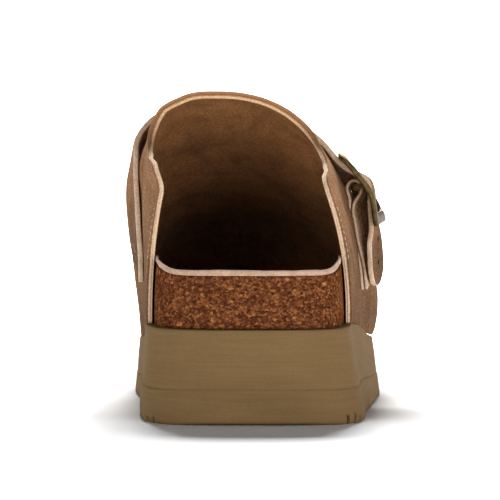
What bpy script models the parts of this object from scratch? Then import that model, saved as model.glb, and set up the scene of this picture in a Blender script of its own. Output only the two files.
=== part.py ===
"""Open-back suede clog, right shoe, as separate solids.

Lengths below are millimetres in the shoe's own frame: d runs forward from the back of the heel,
x runs from the medial side (negative) to the lateral side, z is the height above the floor.
place() turns them into metres about the middle of the finished shoe. Each table starts with a
row of column names.
"""

import math

import bmesh
import bpy
import numpy as np
from mathutils import Matrix, Vector

MM = 0.001
MEDIAL = -1
LATERAL = 1

# Overall frame
SHOE_LENGTH = 256.0
CENTRE_X = 2.4
CENTRE_D = SHOE_LENGTH / 2

# Shared fits
GAP = 0.3
WALL = 2.3
TINY = 0.003

# Sole
HEEL_TIP = (0.0, 4.0)
TOE_TIP = (-4.0, 254.0)
BACK_FLARE = 4.0
TOE_FLARE = 2.0
STEP_DEPTH = 0.4
TOP_ROUND = 0.6
STATIONS = 22
GROOVE_WIDTH = 2.2
GROOVE_HEIGHT = 2.2
GROOVE_REACH = 140.0
GROOVE_BELOW = 1.0
GROOVES = (
    ("first", "count", "pitch"),
    (18.0, 5, 12.0),
    (118.0, 7, 12.0),
)

# Upper edge of the sole, seen from above, and how far the sole's foot stands out beyond it
OUTLINE = (
    ("d", "medial", "lateral", "flare_medial", "flare_lateral"),
    (6.0, -19.4, 21.6, 3.8, 4.4),
    (13.0, -30.2, 31.9, 3.4, 5.2),
    (26.0, -35.8, 36.2, 2.8, 5.6),
    (45.0, -37.8, 37.8, 2.4, 5.2),
    (80.0, -39.0, 41.6, 2.2, 4.6),
    (115.0, -39.8, 45.4, 2.0, 4.0),
    (150.0, -43.2, 49.0, 2.0, 3.0),
    (180.0, -43.8, 48.0, 2.0, 2.6),
    (205.0, -43.4, 44.6, 2.0, 2.4),
    (226.0, -39.6, 36.8, 2.0, 2.2),
    (242.0, -30.0, 24.6, 2.0, 2.0),
)
OUTLINE_SAMPLES = 120

# Side of the sole from its foot to its upper edge
SOLE_SIDE = (
    ("height_share", "flare_share", "inset"),
    (0.0, 0.97, 0.0),
    (0.05, 1.0, 0.0),
    (0.37, 0.66, 0.0),
    (0.385, 0.65, STEP_DEPTH),
    (0.96, 0.02, 0.0),
    (1.0, 0.0, TOP_ROUND),
)

# Heights along the shoe: under the sole, on top of the sole, rim of the cork, hollow of the cork
LEVELS = (
    ("d", "under", "sole_top", "rim", "floor"),
    (0.0, 0.8, 34.0, 53.6, 44.0),
    (8.0, 0.0, 34.0, 53.6, 43.0),
    (26.0, 0.0, 34.0, 55.6, 42.0),
    (50.0, 0.0, 33.8, 57.0, 41.0),
    (75.0, 0.0, 32.0, 56.2, 42.0),
    (110.0, 0.0, 27.0, 48.0, 39.0),
    (150.0, 0.0, 23.0, 37.0, 32.0),
    (190.0, 0.0, 21.6, 32.0, 28.6),
    (220.0, 2.2, 22.0, 31.0, 28.0),
    (256.0, 8.0, 25.4, 32.0, 30.5),
)

# Cross sections of the last: its top line, the roundness of each side, the belly of each side
SECTIONS = (
    ("d", "ridge_x", "rise", "round_medial", "round_lateral", "belly_medial", "belly_lateral"),
    (30.0, -4.0, 100.0, 2.0, 2.0, 0.2, 0.2),
    (60.0, -6.0, 92.0, 2.0, 2.0, 0.3, 0.3),
    (90.0, -10.0, 95.5, 2.9, 1.95, 1.9, 1.0),
    (105.0, -11.7, 93.7, 4.3, 2.25, 2.4, 1.3),
    (115.0, -12.6, 92.4, 4.4, 2.3, 2.6, 1.6),
    (150.0, -9.0, 77.0, 4.9, 2.0, 4.4, 4.0),
    (180.0, -7.0, 62.0, 2.8, 2.2, 3.2, 3.2),
    (210.0, -5.0, 49.5, 2.5, 2.3, 2.6, 2.4),
    (235.0, -4.0, 42.0, 2.3, 2.3, 2.0, 2.0),
    (254.0, -4.0, 36.0, 2.2, 2.2, 1.6, 1.6),
)
BELLY_SHIFT = {MEDIAL: 1.5, LATERAL: 0.75}
BELLY_FULL_WIDTH = 25.0
TOE_ROUND_START = 205.0
TOE_ROUND_POWER = 2.4
COLLAR_FLARE = {MEDIAL: 10.5, LATERAL: 1.5}
COLLAR_FLARE_SHARES = (0.52, 0.68)
COLLAR_FLARE_FADE = (62.0, 104.0)

# Cut edge of the upper from the sole up to the peak of the throat, seen from the side
TOPLINE = (
    ("d_medial", "z_medial", "d_lateral", "z_lateral"),
    (45.0, 34.2, 45.0, 34.2),
    (46.5, 48.0, 46.5, 48.0),
    (50.0, 63.0, 50.5, 61.0),
    (54.5, 78.0, 55.5, 75.0),
    (58.0, 87.5, 60.0, 84.0),
    (62.5, 92.4, 65.0, 88.0),
    (71.0, 94.0, 75.0, 89.4),
    (86.0, 95.4, 88.0, 91.0),
    (96.0, 97.0, 97.0, 93.0),
    (101.5, 100.4, 102.0, 97.2),
    (106.0, 105.0, 106.0, 103.0),
    (111.0, 112.0, 111.0, 111.6),
    (114.5, 119.0, 114.5, 119.0),
)
UPPER_COLUMNS = 24
NORMAL_STEP_D = 0.2
NORMAL_STEP_Q = 0.004

# Footbed and its lining: rings from the rim inwards, as shares of the way to the middle line
BED_SIDE_SHARES = (0.0, 0.25, 0.5, 0.75)
BED_TOP_SHARES = (1.0, 0.95, 0.87, 0.76, 0.55, 0.2)
BED_HEIGHT_SHARE = 0.55
BED_GAP = 0.5
BED_TOE_INSET = 1.6
BED_TOE_INSET_START = 225.0
CUP_POWER = 3.4
SPINE_HEEL = 38.0
SPINE_TOE = 222.0
SPINE_SHIFT = 0.3
LINING_THICKNESS = 1.7

# Strap: q is -1 at the medial foot of the upper, 0 on its top line and 1 at the lateral foot
STRAP_LINE = (
    ("q", "d"),
    (-1.0, 108.0),
    (-0.83, 113.0),
    (-0.5, 126.0),
    (-0.25, 139.0),
    (0.0, 144.0),
    (0.25, 139.0),
    (0.45, 131.5),
    (0.6, 126.0),
    (0.87, 116.5),
    (1.0, 112.0),
)
STRAP_LEVEL = 0.003
STRAP_Q_REACH = 0.99
STRAP_Q_SAMPLES = 397
STRAP_WIDTH = 27.0
STRAP_THICKNESS = 2.4
STRAP_MEDIAL_HEIGHT = 49.5
STRAP_FREE_HEIGHT = 45.0
STRAP_TIP_LENGTH = 12.0
STRAP_TIP_SHARE = 0.22
STRAP_STEPS = 34
STRAP_BUCKLE_STEPS = 22
STRAP_FREE_STEPS = 14
BAND_ACROSS = 4

# Buckle
BUCKLE_TOP_HEIGHT = 90.0
BUCKLE_LENGTH = 28.0
BUCKLE_WIDTH = 37.0
BUCKLE_RAIL = 4.2
BUCKLE_CORNER = 6.0
BUCKLE_WINDOW_CORNER = 2.4
BUCKLE_THICKNESS = 2.2
BUCKLE_CORNER_STEPS = 5
BUCKLE_EDGE_STEPS = 6
BAR_PLACE = 13.5
BAR_RADIUS = 1.15
BAR_LIFT = 4.6
BAR_OVERLAP = 2.0
BAR_SHARES = (-1.0, -0.86, -0.4, 0.4, 0.86, 1.0)
PRONG_RADIUS = 0.75
PRONG_HOOK = (-150.0, 90.0)
PRONG_HOOK_STEPS = 8
PRONG_REACH = 1.5
PRONG_LANDING = 1.0
WIRE_RESOLUTION = 2

# Frame's middle above the upper, with places measured from the top of the buckle
FRAME_LIFTS = (
    ("place", "lift"),
    (0.0, 4.6),
    (9.0, 7.2),
    (18.0, 10.2),
    (BUCKLE_LENGTH, 9.3),
)

# Tab that holds the buckle
TAB_WIDTH = 22.0
TAB_THICKNESS = 1.2
TAB_END_HEIGHT = 46.0
TAB_STEPS = 11
LOOP_RADIUS = 2.9
LOOP_TURN = (-90.0, -305.0)
LOOP_STEPS = 14
LOOP_START = 1.0
LOOP_PINCH = 8.0

# Slots that let the prong through
SLOT_WIDTH = 2.6
SLOT_TOP = 14.0
STRAP_SLOT_START = 7.0
STRAP_SLOT_PAST = 5.0
STRAP_SLOT_LOW = 3.2
TAB_SLOT_HALF = 5.0
TAB_SLOT_LOW = GAP + TAB_THICKNESS + 0.12

# Strap's middle above the upper: by height on the medial side, where its front edge leans out,
# then on the top line, then by places measured along it from the top of the buckle
STRAP_MEDIAL_LIFTS = (
    ("z", "lift", "lean"),
    (STRAP_MEDIAL_HEIGHT, 1.7, 0.0),
    (62.0, 1.9, 0.03),
    (75.0, 2.1, 0.03),
    (90.0, 3.0, -0.01),
    (95.0, 3.6, -0.04),
    (100.0, 2.6, -0.03),
    (102.5, 2.0, 0.0),
)
STRAP_LIFT_TOP = 1.7
STRAP_LIFTS = (
    ("place", "lift"),
    (-14.0, 1.7),
    (0.0, 2.0),
    (4.6, 2.9),
    (9.0, 6.2),
    (BAR_PLACE, 9.7),
    (BUCKLE_LENGTH - 5.0, 7.2),
    (BUCKLE_LENGTH, 6.5),
    (BUCKLE_LENGTH + 6.0, 5.3),
    (BUCKLE_LENGTH + 16.0, 4.5),
    (BUCKLE_LENGTH + 40.0, 4.4),
)

# Finish of each part: colour, roughness, metallic
FINISHES = {
    "sole": ((0.22, 0.155, 0.08), 0.8, 0.0),
    "footbed": ((0.16, 0.06, 0.028), 0.5, 0.0),
    "footbed_lining": ((0.55, 0.40, 0.29), 0.9, 0.0),
    "upper": ((0.30, 0.17, 0.088), 0.95, 0.0),
    "instep_strap": ((0.30, 0.17, 0.09), 0.95, 0.0),
    "buckle_tab": ((0.29, 0.165, 0.09), 0.95, 0.0),
    "buckle_frame": ((0.42, 0.33, 0.18), 0.35, 1.0),
    "buckle_prong": ((0.42, 0.33, 0.18), 0.35, 1.0),
}


def column(table, name):
    place_in_row = table[0].index(name)
    return np.array([row[place_in_row] for row in table[1:]], float)


def smooth_curve(xs, ys):
    """Monotone cubic through the points, held level beyond both ends."""
    xs = np.asarray(xs, float)
    ys = np.asarray(ys, float)
    steps = np.diff(xs)
    slopes = np.diff(ys) / steps
    tangents = np.zeros(len(xs))
    for k in range(1, len(xs) - 1):
        if slopes[k - 1] * slopes[k] > 0:
            left = 2 * steps[k] + steps[k - 1]
            right = steps[k] + 2 * steps[k - 1]
            tangents[k] = (left + right) / (left / slopes[k - 1] + right / slopes[k])

    def at(value):
        value = np.clip(value, xs[0], xs[-1])
        k = np.clip(np.searchsorted(xs, value) - 1, 0, len(steps) - 1)
        t = (value - xs[k]) / steps[k]
        level = ys[k] * (1 + 2 * t) * (1 - t) ** 2 + ys[k + 1] * t * t * (3 - 2 * t)
        lean = tangents[k] * t * (1 - t) ** 2 - tangents[k + 1] * t * t * (1 - t)
        return level + steps[k] * lean

    return at


def table_curve(table, name, along="d"):
    return smooth_curve(column(table, along), column(table, name))


def smooth_step(value, low, high):
    t = np.clip((value - low) / (high - low), 0, 1)
    return t * t * (3 - 2 * t)


def closed_spline(points, samples):
    """Periodic cubic spline through the points, spaced by chord length."""
    points = np.asarray(points, float)
    count = len(points)
    chords = np.linalg.norm(np.roll(points, -1, 0) - points, axis=1)
    system = np.zeros((count, count))
    right = np.zeros((count, 2))
    for k in range(count):
        before = chords[k - 1]
        after = chords[k]
        system[k, k - 1] = before
        system[k, k] = 2 * (before + after)
        system[k, (k + 1) % count] = after
        ahead = (points[(k + 1) % count] - points[k]) / after
        behind = (points[k] - points[k - 1]) / before
        right[k] = 6 * (ahead - behind)
    bends = np.linalg.solve(system, right)
    curve = []
    for k in range(count):
        after = (k + 1) % count
        chord = chords[k]
        t = np.linspace(0, chord, samples, endpoint=False)[:, None]
        bent = (bends[k] * (chord - t) ** 3 + bends[after] * t**3) / (6 * chord)
        start = (points[k] / chord - bends[k] * chord / 6) * (chord - t)
        end = (points[after] / chord - bends[after] * chord / 6) * t
        curve.append(bent + start + end)
    return np.concatenate(curve)


def outline_sides():
    """The sole's upper edge as a function of side and d, with its ends at heel and toe."""
    d = column(OUTLINE, "d")
    lateral = np.stack([column(OUTLINE, "lateral"), d], 1)
    medial = np.stack([column(OUTLINE, "medial"), d], 1)
    corners = np.concatenate([[HEEL_TIP], lateral, [TOE_TIP], medial[::-1]])
    curve = closed_spline(corners, OUTLINE_SAMPLES)
    curve = np.roll(curve, -int(np.argmin(curve[:, 1])), 0)
    high = int(np.argmax(curve[:, 1]))
    branches = {
        LATERAL: curve[: high + 1],
        MEDIAL: np.concatenate([curve[high:], curve[:1]])[::-1],
    }

    def edge(side, d_value):
        return np.interp(d_value, branches[side][:, 1], branches[side][:, 0])

    return edge, float(curve[0, 1]), float(curve[high, 1])


edge_x, EDGE_HEEL, EDGE_TOE = outline_sides()
under_z = table_curve(LEVELS, "under")
sole_top_z = table_curve(LEVELS, "sole_top")
rim_z = table_curve(LEVELS, "rim")
floor_z = table_curve(LEVELS, "floor")
ridge_x = table_curve(SECTIONS, "ridge_x")
full_rise = table_curve(SECTIONS, "rise")
ROUND = {MEDIAL: table_curve(SECTIONS, "round_medial"), LATERAL: table_curve(SECTIONS, "round_lateral")}
BELLY = {MEDIAL: table_curve(SECTIONS, "belly_medial"), LATERAL: table_curve(SECTIONS, "belly_lateral")}


def feather_z(d):
    return sole_top_z(d) + GAP


def rise(d):
    """Height of the last above the sole, closing like an egg at the toe."""
    t = np.clip((d - TOE_ROUND_START) / (EDGE_TOE - TOE_ROUND_START), 0, 1)
    return full_rise(d) * np.sqrt(np.maximum(1 - t**TOE_ROUND_POWER, 0))


def upper_point(d, q):
    """Outer face of the upper at station d; q runs from -1 (medial foot) to 1 (lateral foot)."""
    side = MEDIAL if q < 0 else LATERAL
    share = math.sin((1 - abs(q)) * math.pi / 2)
    power = float(ROUND[side](d))
    middle = float(ridge_x(d))
    half = abs(float(edge_x(side, d)) - middle)
    belly = float(BELLY[side](d)) * min(1.0, half / BELLY_FULL_WIDTH)
    belly *= math.sin(math.pi * share ** BELLY_SHIFT[side])
    flare = COLLAR_FLARE[side] * float(smooth_step(share, *COLLAR_FLARE_SHARES))
    flare *= 1 - float(smooth_step(d, *COLLAR_FLARE_FADE))
    flare *= math.cos(share * math.pi / 2)
    reach = half * max(1 - share**power, 0) ** (1 / power) + belly + flare
    return np.array([middle + side * reach, d, float(feather_z(d)) + float(rise(d)) * share])


def upper_normal(d, q):
    """Outward direction of the upper's outer face."""
    ahead = upper_point(min(d + NORMAL_STEP_D, EDGE_TOE), q) - upper_point(d - NORMAL_STEP_D, q)
    across = upper_point(d, min(q + NORMAL_STEP_Q, 1)) - upper_point(d, max(q - NORMAL_STEP_Q, -1))
    normal = np.cross(across, ahead)
    return normal / np.linalg.norm(normal)


def over_upper(d, q, lift):
    return upper_point(d, q) + upper_normal(d, q) * lift


def q_at(side, d, z):
    """Where the upper's section at d reaches the height z."""
    share = np.clip((z - feather_z(d)) / rise(d), 0, 1)
    return side * (1 - math.asin(float(share)) * 2 / math.pi)


def place(point):
    return Vector(((point[0] - CENTRE_X) * MM, (point[1] - CENTRE_D) * MM, point[2] * MM))


def finish(name, data):
    """The object of a part, with its material, in the parts collection."""
    colour, roughness, metallic = FINISHES[name]
    material = bpy.data.materials.new(name)
    material.use_nodes = True
    shader = material.node_tree.nodes["Principled BSDF"]
    shader.inputs["Base Color"].default_value = (*colour, 1.0)
    shader.inputs["Roughness"].default_value = roughness
    shader.inputs["Metallic"].default_value = metallic
    data.materials.append(material)
    made = bpy.data.objects.new(name, data)
    bpy.data.collections["clog"].objects.link(made)
    return made


def loft_mesh(name, points, faces):
    mesh = bpy.data.meshes.new(name)
    mesh.from_pydata([place(p) for p in points], [], faces)
    return mesh


def thicken(target, thickness, offset):
    """Wall on an open surface: offset -1 grows it inwards, 0 to both sides."""
    wall = target.modifiers.new("wall", "SOLIDIFY")
    wall.thickness = thickness * MM
    wall.offset = offset
    wall.use_even_offset = True


def make_cutter(name, mesh):
    cutter = bpy.data.objects.new(name, mesh)
    bpy.data.collections["clog_cutters"].objects.link(cutter)
    cutter.hide_render = True
    cutter.display_type = "WIRE"
    return cutter


def boolean(target, other, operation):
    modifier = target.modifiers.new(f"{operation.lower()}_{other.name}", "BOOLEAN")
    modifier.operation = operation
    modifier.solver = "EXACT"
    modifier.object = other


def block_mesh(name, blocks):
    """Boxes, each given by the matrix that places a cube of side 1."""
    mesh = bpy.data.meshes.new(name)
    work = bmesh.new()
    for matrix in blocks:
        bmesh.ops.create_cube(work, size=1.0, matrix=matrix)
    work.to_mesh(mesh)
    work.free()
    return mesh


def wire_curve(name, path, radius):
    """Round wire along the path, with filled ends."""
    curve = bpy.data.curves.new(name, "CURVE")
    curve.dimensions = "3D"
    curve.bevel_depth = radius * MM
    curve.bevel_resolution = WIRE_RESOLUTION
    curve.use_fill_caps = True
    spline = curve.splines.new("POLY")
    spline.points.add(len(path) - 1)
    for point, position in zip(spline.points, path):
        point.co = (*place(position), 1.0)
    return curve


def ring_places():
    """(side, d) round the shoe: heel tip, lateral side, toe tip, medial side."""
    turn = np.linspace(0, math.pi, STATIONS + 1)
    ds = EDGE_HEEL + (EDGE_TOE - EDGE_HEEL) * (1 - np.cos(turn)) / 2
    return [(LATERAL, d) for d in ds] + [(MEDIAL, d) for d in ds[-2:0:-1]]


def plan_normals(ring):
    """Outward directions of a ring, seen from above."""
    plan = np.asarray(ring)[:, :2]
    along = np.roll(plan, -1, 0) - np.roll(plan, 1, 0)
    normals = np.stack([along[:, 1], -along[:, 0]], 1)
    return normals / np.linalg.norm(normals, axis=1)[:, None]


def split_quad(points, quad):
    """The quad as two triangles, cut along its shorter diagonal."""
    a, b, c, d = quad
    first = np.linalg.norm(points[a] - points[c])
    second = np.linalg.norm(points[b] - points[d])
    return [(a, b, c), (a, c, d)] if first <= second else [(a, b, d), (b, c, d)]


def rings_solid(name, rings):
    """Solid between stacked rings, closed at both ends by rungs across the shoe."""
    size = len(rings[0])
    half = size // 2
    points = [p for ring in rings for p in ring]
    faces = []
    for k in range(len(rings) - 1):
        low = k * size
        high = low + size
        for i in range(size):
            j = (i + 1) % size
            faces += split_quad(points, (low + i, low + j, high + j, high + i))
    rungs = [(0, 1, size - 1), (half - 1, half, half + 1)]
    rungs += [(k, k + 1, size - k - 1, size - k) for k in range(1, half - 1)]
    top = (len(rings) - 1) * size
    faces += [rung[::-1] for rung in rungs]
    faces += [tuple(top + i for i in rung) for rung in rungs]
    return finish(name, loft_mesh(name, points, faces))


def flare_ring():
    """How far the foot of the sole stands out, round the shoe."""
    ends = np.concatenate([[EDGE_HEEL], column(OUTLINE, "d"), [EDGE_TOE]])
    flare = {}
    for side, name in ((MEDIAL, "flare_medial"), (LATERAL, "flare_lateral")):
        amounts = np.concatenate([[BACK_FLARE], column(OUTLINE, name), [TOE_FLARE]])
        flare[side] = smooth_curve(ends, amounts)
    return np.array([float(flare[side](d)) for side, d in ring_places()])


def build_sole():
    edge = np.array([(edge_x(side, d), d) for side, d in ring_places()])
    normals = plan_normals(edge)
    flare = flare_ring()
    rings = []
    for height_share, flare_share, inset in SOLE_SIDE[1:]:
        plan = edge + normals * (flare * flare_share - inset)[:, None]
        low = under_z(plan[:, 1])
        height = low + (sole_top_z(plan[:, 1]) - low) * height_share
        rings.append(np.column_stack([plan, height]))
    sole = rings_solid("sole", rings)
    boolean(sole, groove_cutter(), "DIFFERENCE")


def groove_cutter():
    """Straight bars across the tread, one for each groove."""
    bars = []
    for first, count, pitch in GROOVES[1:]:
        for k in range(count):
            d = first + k * pitch
            height = float(under_z(d)) + GROOVE_HEIGHT + GROOVE_BELOW
            middle = place((CENTRE_X, d, height / 2 - GROOVE_BELOW))
            size = Vector((GROOVE_REACH, GROOVE_WIDTH, height)) * MM
            bars.append(Matrix.LocRotScale(middle, None, size))
    return make_cutter("tread_grooves", block_mesh("tread_grooves", bars))


def bed_ring(height):
    """Ring just inside the upper's wall at the given height, round the shoe."""
    ring = []
    for side, d in ring_places():
        inside_d = min(max(d, EDGE_HEEL + TINY), EDGE_TOE - TINY)
        limit = float(feather_z(inside_d) + BED_HEIGHT_SHARE * rise(inside_d))
        wall = upper_point(inside_d, q_at(side, inside_d, min(height(d), limit)))
        ring.append((wall[0], d, height(d)))
    ring = np.array(ring)
    inset = WALL + BED_GAP + BED_TOE_INSET * smooth_step(ring[:, 1], BED_TOE_INSET_START, EDGE_TOE)
    ring[:, :2] -= plan_normals(ring) * inset[:, None]
    return ring


def bed_surface(lift):
    """Rings of the footbed's hollow from the rim inwards, raised by lift."""
    rim = bed_ring(lambda d: float(rim_z(d)) + lift)
    spine_d = np.clip(rim[:, 1], SPINE_HEEL, SPINE_TOE)
    spine = np.column_stack([ridge_x(spine_d) * SPINE_SHIFT, spine_d])
    rings = []
    for share in BED_TOP_SHARES:
        plan = spine + (rim[:, :2] - spine) * share
        floor = floor_z(plan[:, 1]) + lift
        rings.append(np.column_stack([plan, floor + (rim[:, 2] - floor) * share**CUP_POWER]))
    return rings


def build_footbed():
    def side_ring(share):
        return bed_ring(lambda d: float(feather_z(d) + (rim_z(d) - feather_z(d)) * share))

    rings_solid("footbed", [side_ring(share) for share in BED_SIDE_SHARES] + bed_surface(0.0))


def build_lining():
    below = bed_surface(GAP)[::-1]
    rings_solid("footbed_lining", below + bed_surface(GAP + LINING_THICKNESS))


def topline_rows():
    """(q, d) where each row of the upper meets its cut edge, medial foot to lateral foot."""
    rows = []
    for side, name in ((MEDIAL, "medial"), (LATERAL, "lateral")):
        d = column(TOPLINE, f"d_{name}")
        z = column(TOPLINE, f"z_{name}")
        index = np.arange(len(d))
        d_at = smooth_curve(index, d)
        z_at = smooth_curve(index, z)
        fine = np.linspace(0, index[-1], 2 * index[-1] + 1)
        found = [(q_at(side, float(d_at(i)), float(z_at(i))), float(d_at(i))) for i in fine]
        found[-1] = (0.0, found[-1][1])
        rows.append(found)
    return rows[0] + rows[1][-2::-1]


def build_upper():
    rows = topline_rows()
    shares = [1 - (1 - k / UPPER_COLUMNS) ** 2 for k in range(UPPER_COLUMNS)]
    points = []
    for q, start in rows:
        for share in shares:
            points.append(upper_point(start + (EDGE_TOE - start) * share, q))
    points.append(np.array([TOE_TIP[0], EDGE_TOE, float(feather_z(EDGE_TOE))]))
    tip = len(points) - 1
    faces = grid_faces(len(rows), UPPER_COLUMNS)
    for j in range(len(rows) - 1):
        last = (j + 1) * UPPER_COLUMNS - 1
        faces.append((last, last + UPPER_COLUMNS, tip))
    upper = finish("upper", loft_mesh("upper", points, faces))
    thicken(upper, WALL, -1)


def grid_faces(rows, width):
    """Quads of a grid of points, row after row, facing away from the foot."""
    faces = []
    for j in range(rows - 1):
        for i in range(width - 1):
            a = j * width + i
            faces.append((a, a + width, a + width + 1, a + 1))
    return faces


class StrapLine:
    """Distances along the strap's middle, from the top line of the upper, lateral positive."""

    def __init__(self):
        self.d_at = table_curve(STRAP_LINE, "d", along="q")
        self.q = np.linspace(-STRAP_Q_REACH, STRAP_Q_REACH, STRAP_Q_SAMPLES)
        path = np.array([upper_point(float(self.d_at(q)), q) for q in self.q])
        run = np.concatenate([[0], np.cumsum(np.linalg.norm(np.diff(path, axis=0), axis=1))])
        self.s = run - np.interp(0.0, self.q, run)
        self.z = path[:, 2]

    def at_height(self, side, z):
        picked = self.q * side > 0
        order = np.argsort(self.z[picked])
        return float(np.interp(z, self.z[picked][order], self.s[picked][order]))

    def point(self, s, lift, across):
        """Place at s along the strap, lifted off the upper, and across towards the toe."""
        q = float(np.interp(s, self.s, self.q))
        return over_upper(float(self.d_at(q)) + across, q * (1 - STRAP_LEVEL * across), lift)

    def matrix(self, s, lift):
        """Axes along the strap, across it and outwards, at that place."""
        middle = place(self.point(s, lift, 0))
        along = (place(self.point(s + 1, lift, 0)) - middle).normalized()
        out = (place(self.point(s, lift + 1, 0)) - middle).normalized()
        across = out.cross(along).normalized()
        return Matrix.Translation(middle) @ Matrix((along, across, out)).transposed().to_4x4()


strap_line = StrapLine()
STRAP_START = strap_line.at_height(MEDIAL, STRAP_MEDIAL_HEIGHT)
STRAP_END = strap_line.at_height(LATERAL, STRAP_FREE_HEIGHT)
BUCKLE_TOP = strap_line.at_height(LATERAL, BUCKLE_TOP_HEIGHT)
BUCKLE_MIDDLE = BUCKLE_TOP + BUCKLE_LENGTH / 2
BAR_AT = BUCKLE_TOP + BAR_PLACE
BUCKLE_LOW = BUCKLE_TOP + BUCKLE_LENGTH


def band(name, path, widths, thickness):
    """Strip whose middle follows path, in (s, lift, lean), as wide as widths says at each point."""
    points = []
    for (s, lift, lean), width in zip(path, widths):
        for across in np.linspace(-width / 2, width / 2, BAND_ACROSS + 1):
            points.append(strap_line.point(s, lift + lean * across, across))
    made = finish(name, loft_mesh(name, points, grid_faces(len(path), BAND_ACROSS + 1)))
    thicken(made, thickness, 0)
    return made


def slot_cutter(name, first, last, low):
    """Block in the middle of the strap, from s = first to last and from lift low to SLOT_TOP."""
    size = Vector((last - first, SLOT_WIDTH, SLOT_TOP - low)) * MM
    matrix = strap_line.matrix((first + last) / 2, (low + SLOT_TOP) / 2) @ Matrix.Diagonal(size).to_4x4()
    return make_cutter(name, block_mesh(name, [matrix]))


def strap_curves():
    """The strap's lift and its lean, as functions of the place along it."""
    medial = [strap_line.at_height(MEDIAL, z) for z in column(STRAP_MEDIAL_LIFTS, "z")]
    places = np.concatenate([medial, [0.0], BUCKLE_TOP + column(STRAP_LIFTS, "place")])
    lifts = [column(STRAP_MEDIAL_LIFTS, "lift"), [STRAP_LIFT_TOP], column(STRAP_LIFTS, "lift")]
    leans = np.concatenate([column(STRAP_MEDIAL_LIFTS, "lean"), [0.0]])
    return smooth_curve(places, np.concatenate(lifts)), smooth_curve(places[: len(leans)], leans)


def build_strap():
    lift_at, lean_at = strap_curves()
    run = np.concatenate(
        [
            np.linspace(STRAP_START, BUCKLE_TOP, STRAP_STEPS, endpoint=False),
            np.linspace(BUCKLE_TOP, BUCKLE_LOW, STRAP_BUCKLE_STEPS, endpoint=False),
            np.linspace(BUCKLE_LOW, STRAP_END, STRAP_FREE_STEPS),
        ]
    )
    near_tip = np.clip((run - STRAP_END + STRAP_TIP_LENGTH) / STRAP_TIP_LENGTH, 0, 1)
    widths = STRAP_WIDTH * np.maximum(np.sqrt(1 - near_tip**2), STRAP_TIP_SHARE)
    path = [(s, float(lift_at(s)), float(lean_at(s))) for s in run]
    strap = band("instep_strap", path, widths, STRAP_THICKNESS)
    slot = slot_cutter(
        "strap_slot", BUCKLE_TOP + STRAP_SLOT_START, BAR_AT + STRAP_SLOT_PAST, STRAP_SLOT_LOW
    )
    boolean(strap, slot, "DIFFERENCE")


def build_tab():
    end = strap_line.at_height(LATERAL, TAB_END_HEIGHT)
    low = GAP + TAB_THICKNESS / 2
    high = low + TAB_THICKNESS + GAP
    path = [(s, low, 0.0) for s in np.linspace(end, BAR_AT + LOOP_START, TAB_STEPS)]
    for turn in np.radians(np.linspace(*LOOP_TURN, LOOP_STEPS + 1)):
        s = BAR_AT + LOOP_RADIUS * math.cos(turn)
        path.append((s, low + LOOP_RADIUS * (1 + math.sin(turn)), 0.0))
    path += [(s, high, 0.0) for s in np.linspace(BAR_AT + LOOP_PINCH, end, TAB_STEPS)]
    tab = band("buckle_tab", path, [TAB_WIDTH] * len(path), TAB_THICKNESS)
    slot = slot_cutter("tab_slot", BAR_AT - TAB_SLOT_HALF, BAR_AT + TAB_SLOT_HALF, TAB_SLOT_LOW)
    boolean(tab, slot, "DIFFERENCE")


def rounded_rectangle(length, width, corner):
    """Closed outline in (s, across) about the buckle's middle."""
    outline = []
    for turn, s_sign, across_sign in ((0, 1, 1), (90, -1, 1), (180, -1, -1), (270, 1, -1)):
        centre = np.array([s_sign * (length / 2 - corner), across_sign * (width / 2 - corner)])
        angles = np.radians(turn + np.linspace(0, 90, BUCKLE_CORNER_STEPS + 1))
        outline.append(centre + corner * np.stack([np.cos(angles), np.sin(angles)], 1))
    points = []
    for arc, following in zip(outline, outline[1:] + outline[:1]):
        points += list(arc)
        for share in np.linspace(0, 1, BUCKLE_EDGE_STEPS + 1)[1:-1]:
            points.append(arc[-1] + (following[0] - arc[-1]) * share)
    return points


frame_lift_at = table_curve(FRAME_LIFTS, "lift", along="place")


def frame_lift(s):
    return float(frame_lift_at(s - BUCKLE_TOP))


def build_frame():
    outside = rounded_rectangle(BUCKLE_LENGTH, BUCKLE_WIDTH, BUCKLE_CORNER)
    window = rounded_rectangle(
        BUCKLE_LENGTH - 2 * BUCKLE_RAIL, BUCKLE_WIDTH - 2 * BUCKLE_RAIL, BUCKLE_WINDOW_CORNER
    )
    points = []
    for s_from_middle, across in outside + window:
        s = BUCKLE_MIDDLE + s_from_middle
        points.append(strap_line.point(s, frame_lift(s), across))
    size = len(outside)
    faces = [(i, (i + 1) % size, size + (i + 1) % size, size + i) for i in range(size)]
    frame = finish("buckle_frame", loft_mesh("buckle_frame", points, faces))
    thicken(frame, BUCKLE_THICKNESS, 0)
    boolean(frame, centre_bar(), "UNION")


def centre_bar():
    """Bar across the frame's window, as a closed mesh to be joined to the frame."""
    reach = BUCKLE_WIDTH / 2 - BUCKLE_RAIL + BAR_OVERLAP
    frame_height = frame_lift(BAR_AT)
    path = []
    for share in BAR_SHARES:
        lift = frame_height if abs(share) == 1 else BAR_LIFT
        path.append(strap_line.point(BAR_AT, lift, share * reach))
    curve = wire_curve("centre_bar", path, BAR_RADIUS)
    wire = bpy.data.objects.new("centre_bar_wire", curve)
    bpy.context.scene.collection.objects.link(wire)
    evaluated = wire.evaluated_get(bpy.context.evaluated_depsgraph_get())
    mesh = bpy.data.meshes.new_from_object(evaluated)
    bpy.data.objects.remove(wire, do_unlink=True)
    work = bmesh.new()
    work.from_mesh(mesh)
    bmesh.ops.remove_doubles(work, verts=work.verts, dist=TINY * MM)
    bmesh.ops.recalc_face_normals(work, faces=work.faces)
    work.to_mesh(mesh)
    work.free()
    return make_cutter("centre_bar", mesh)


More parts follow.
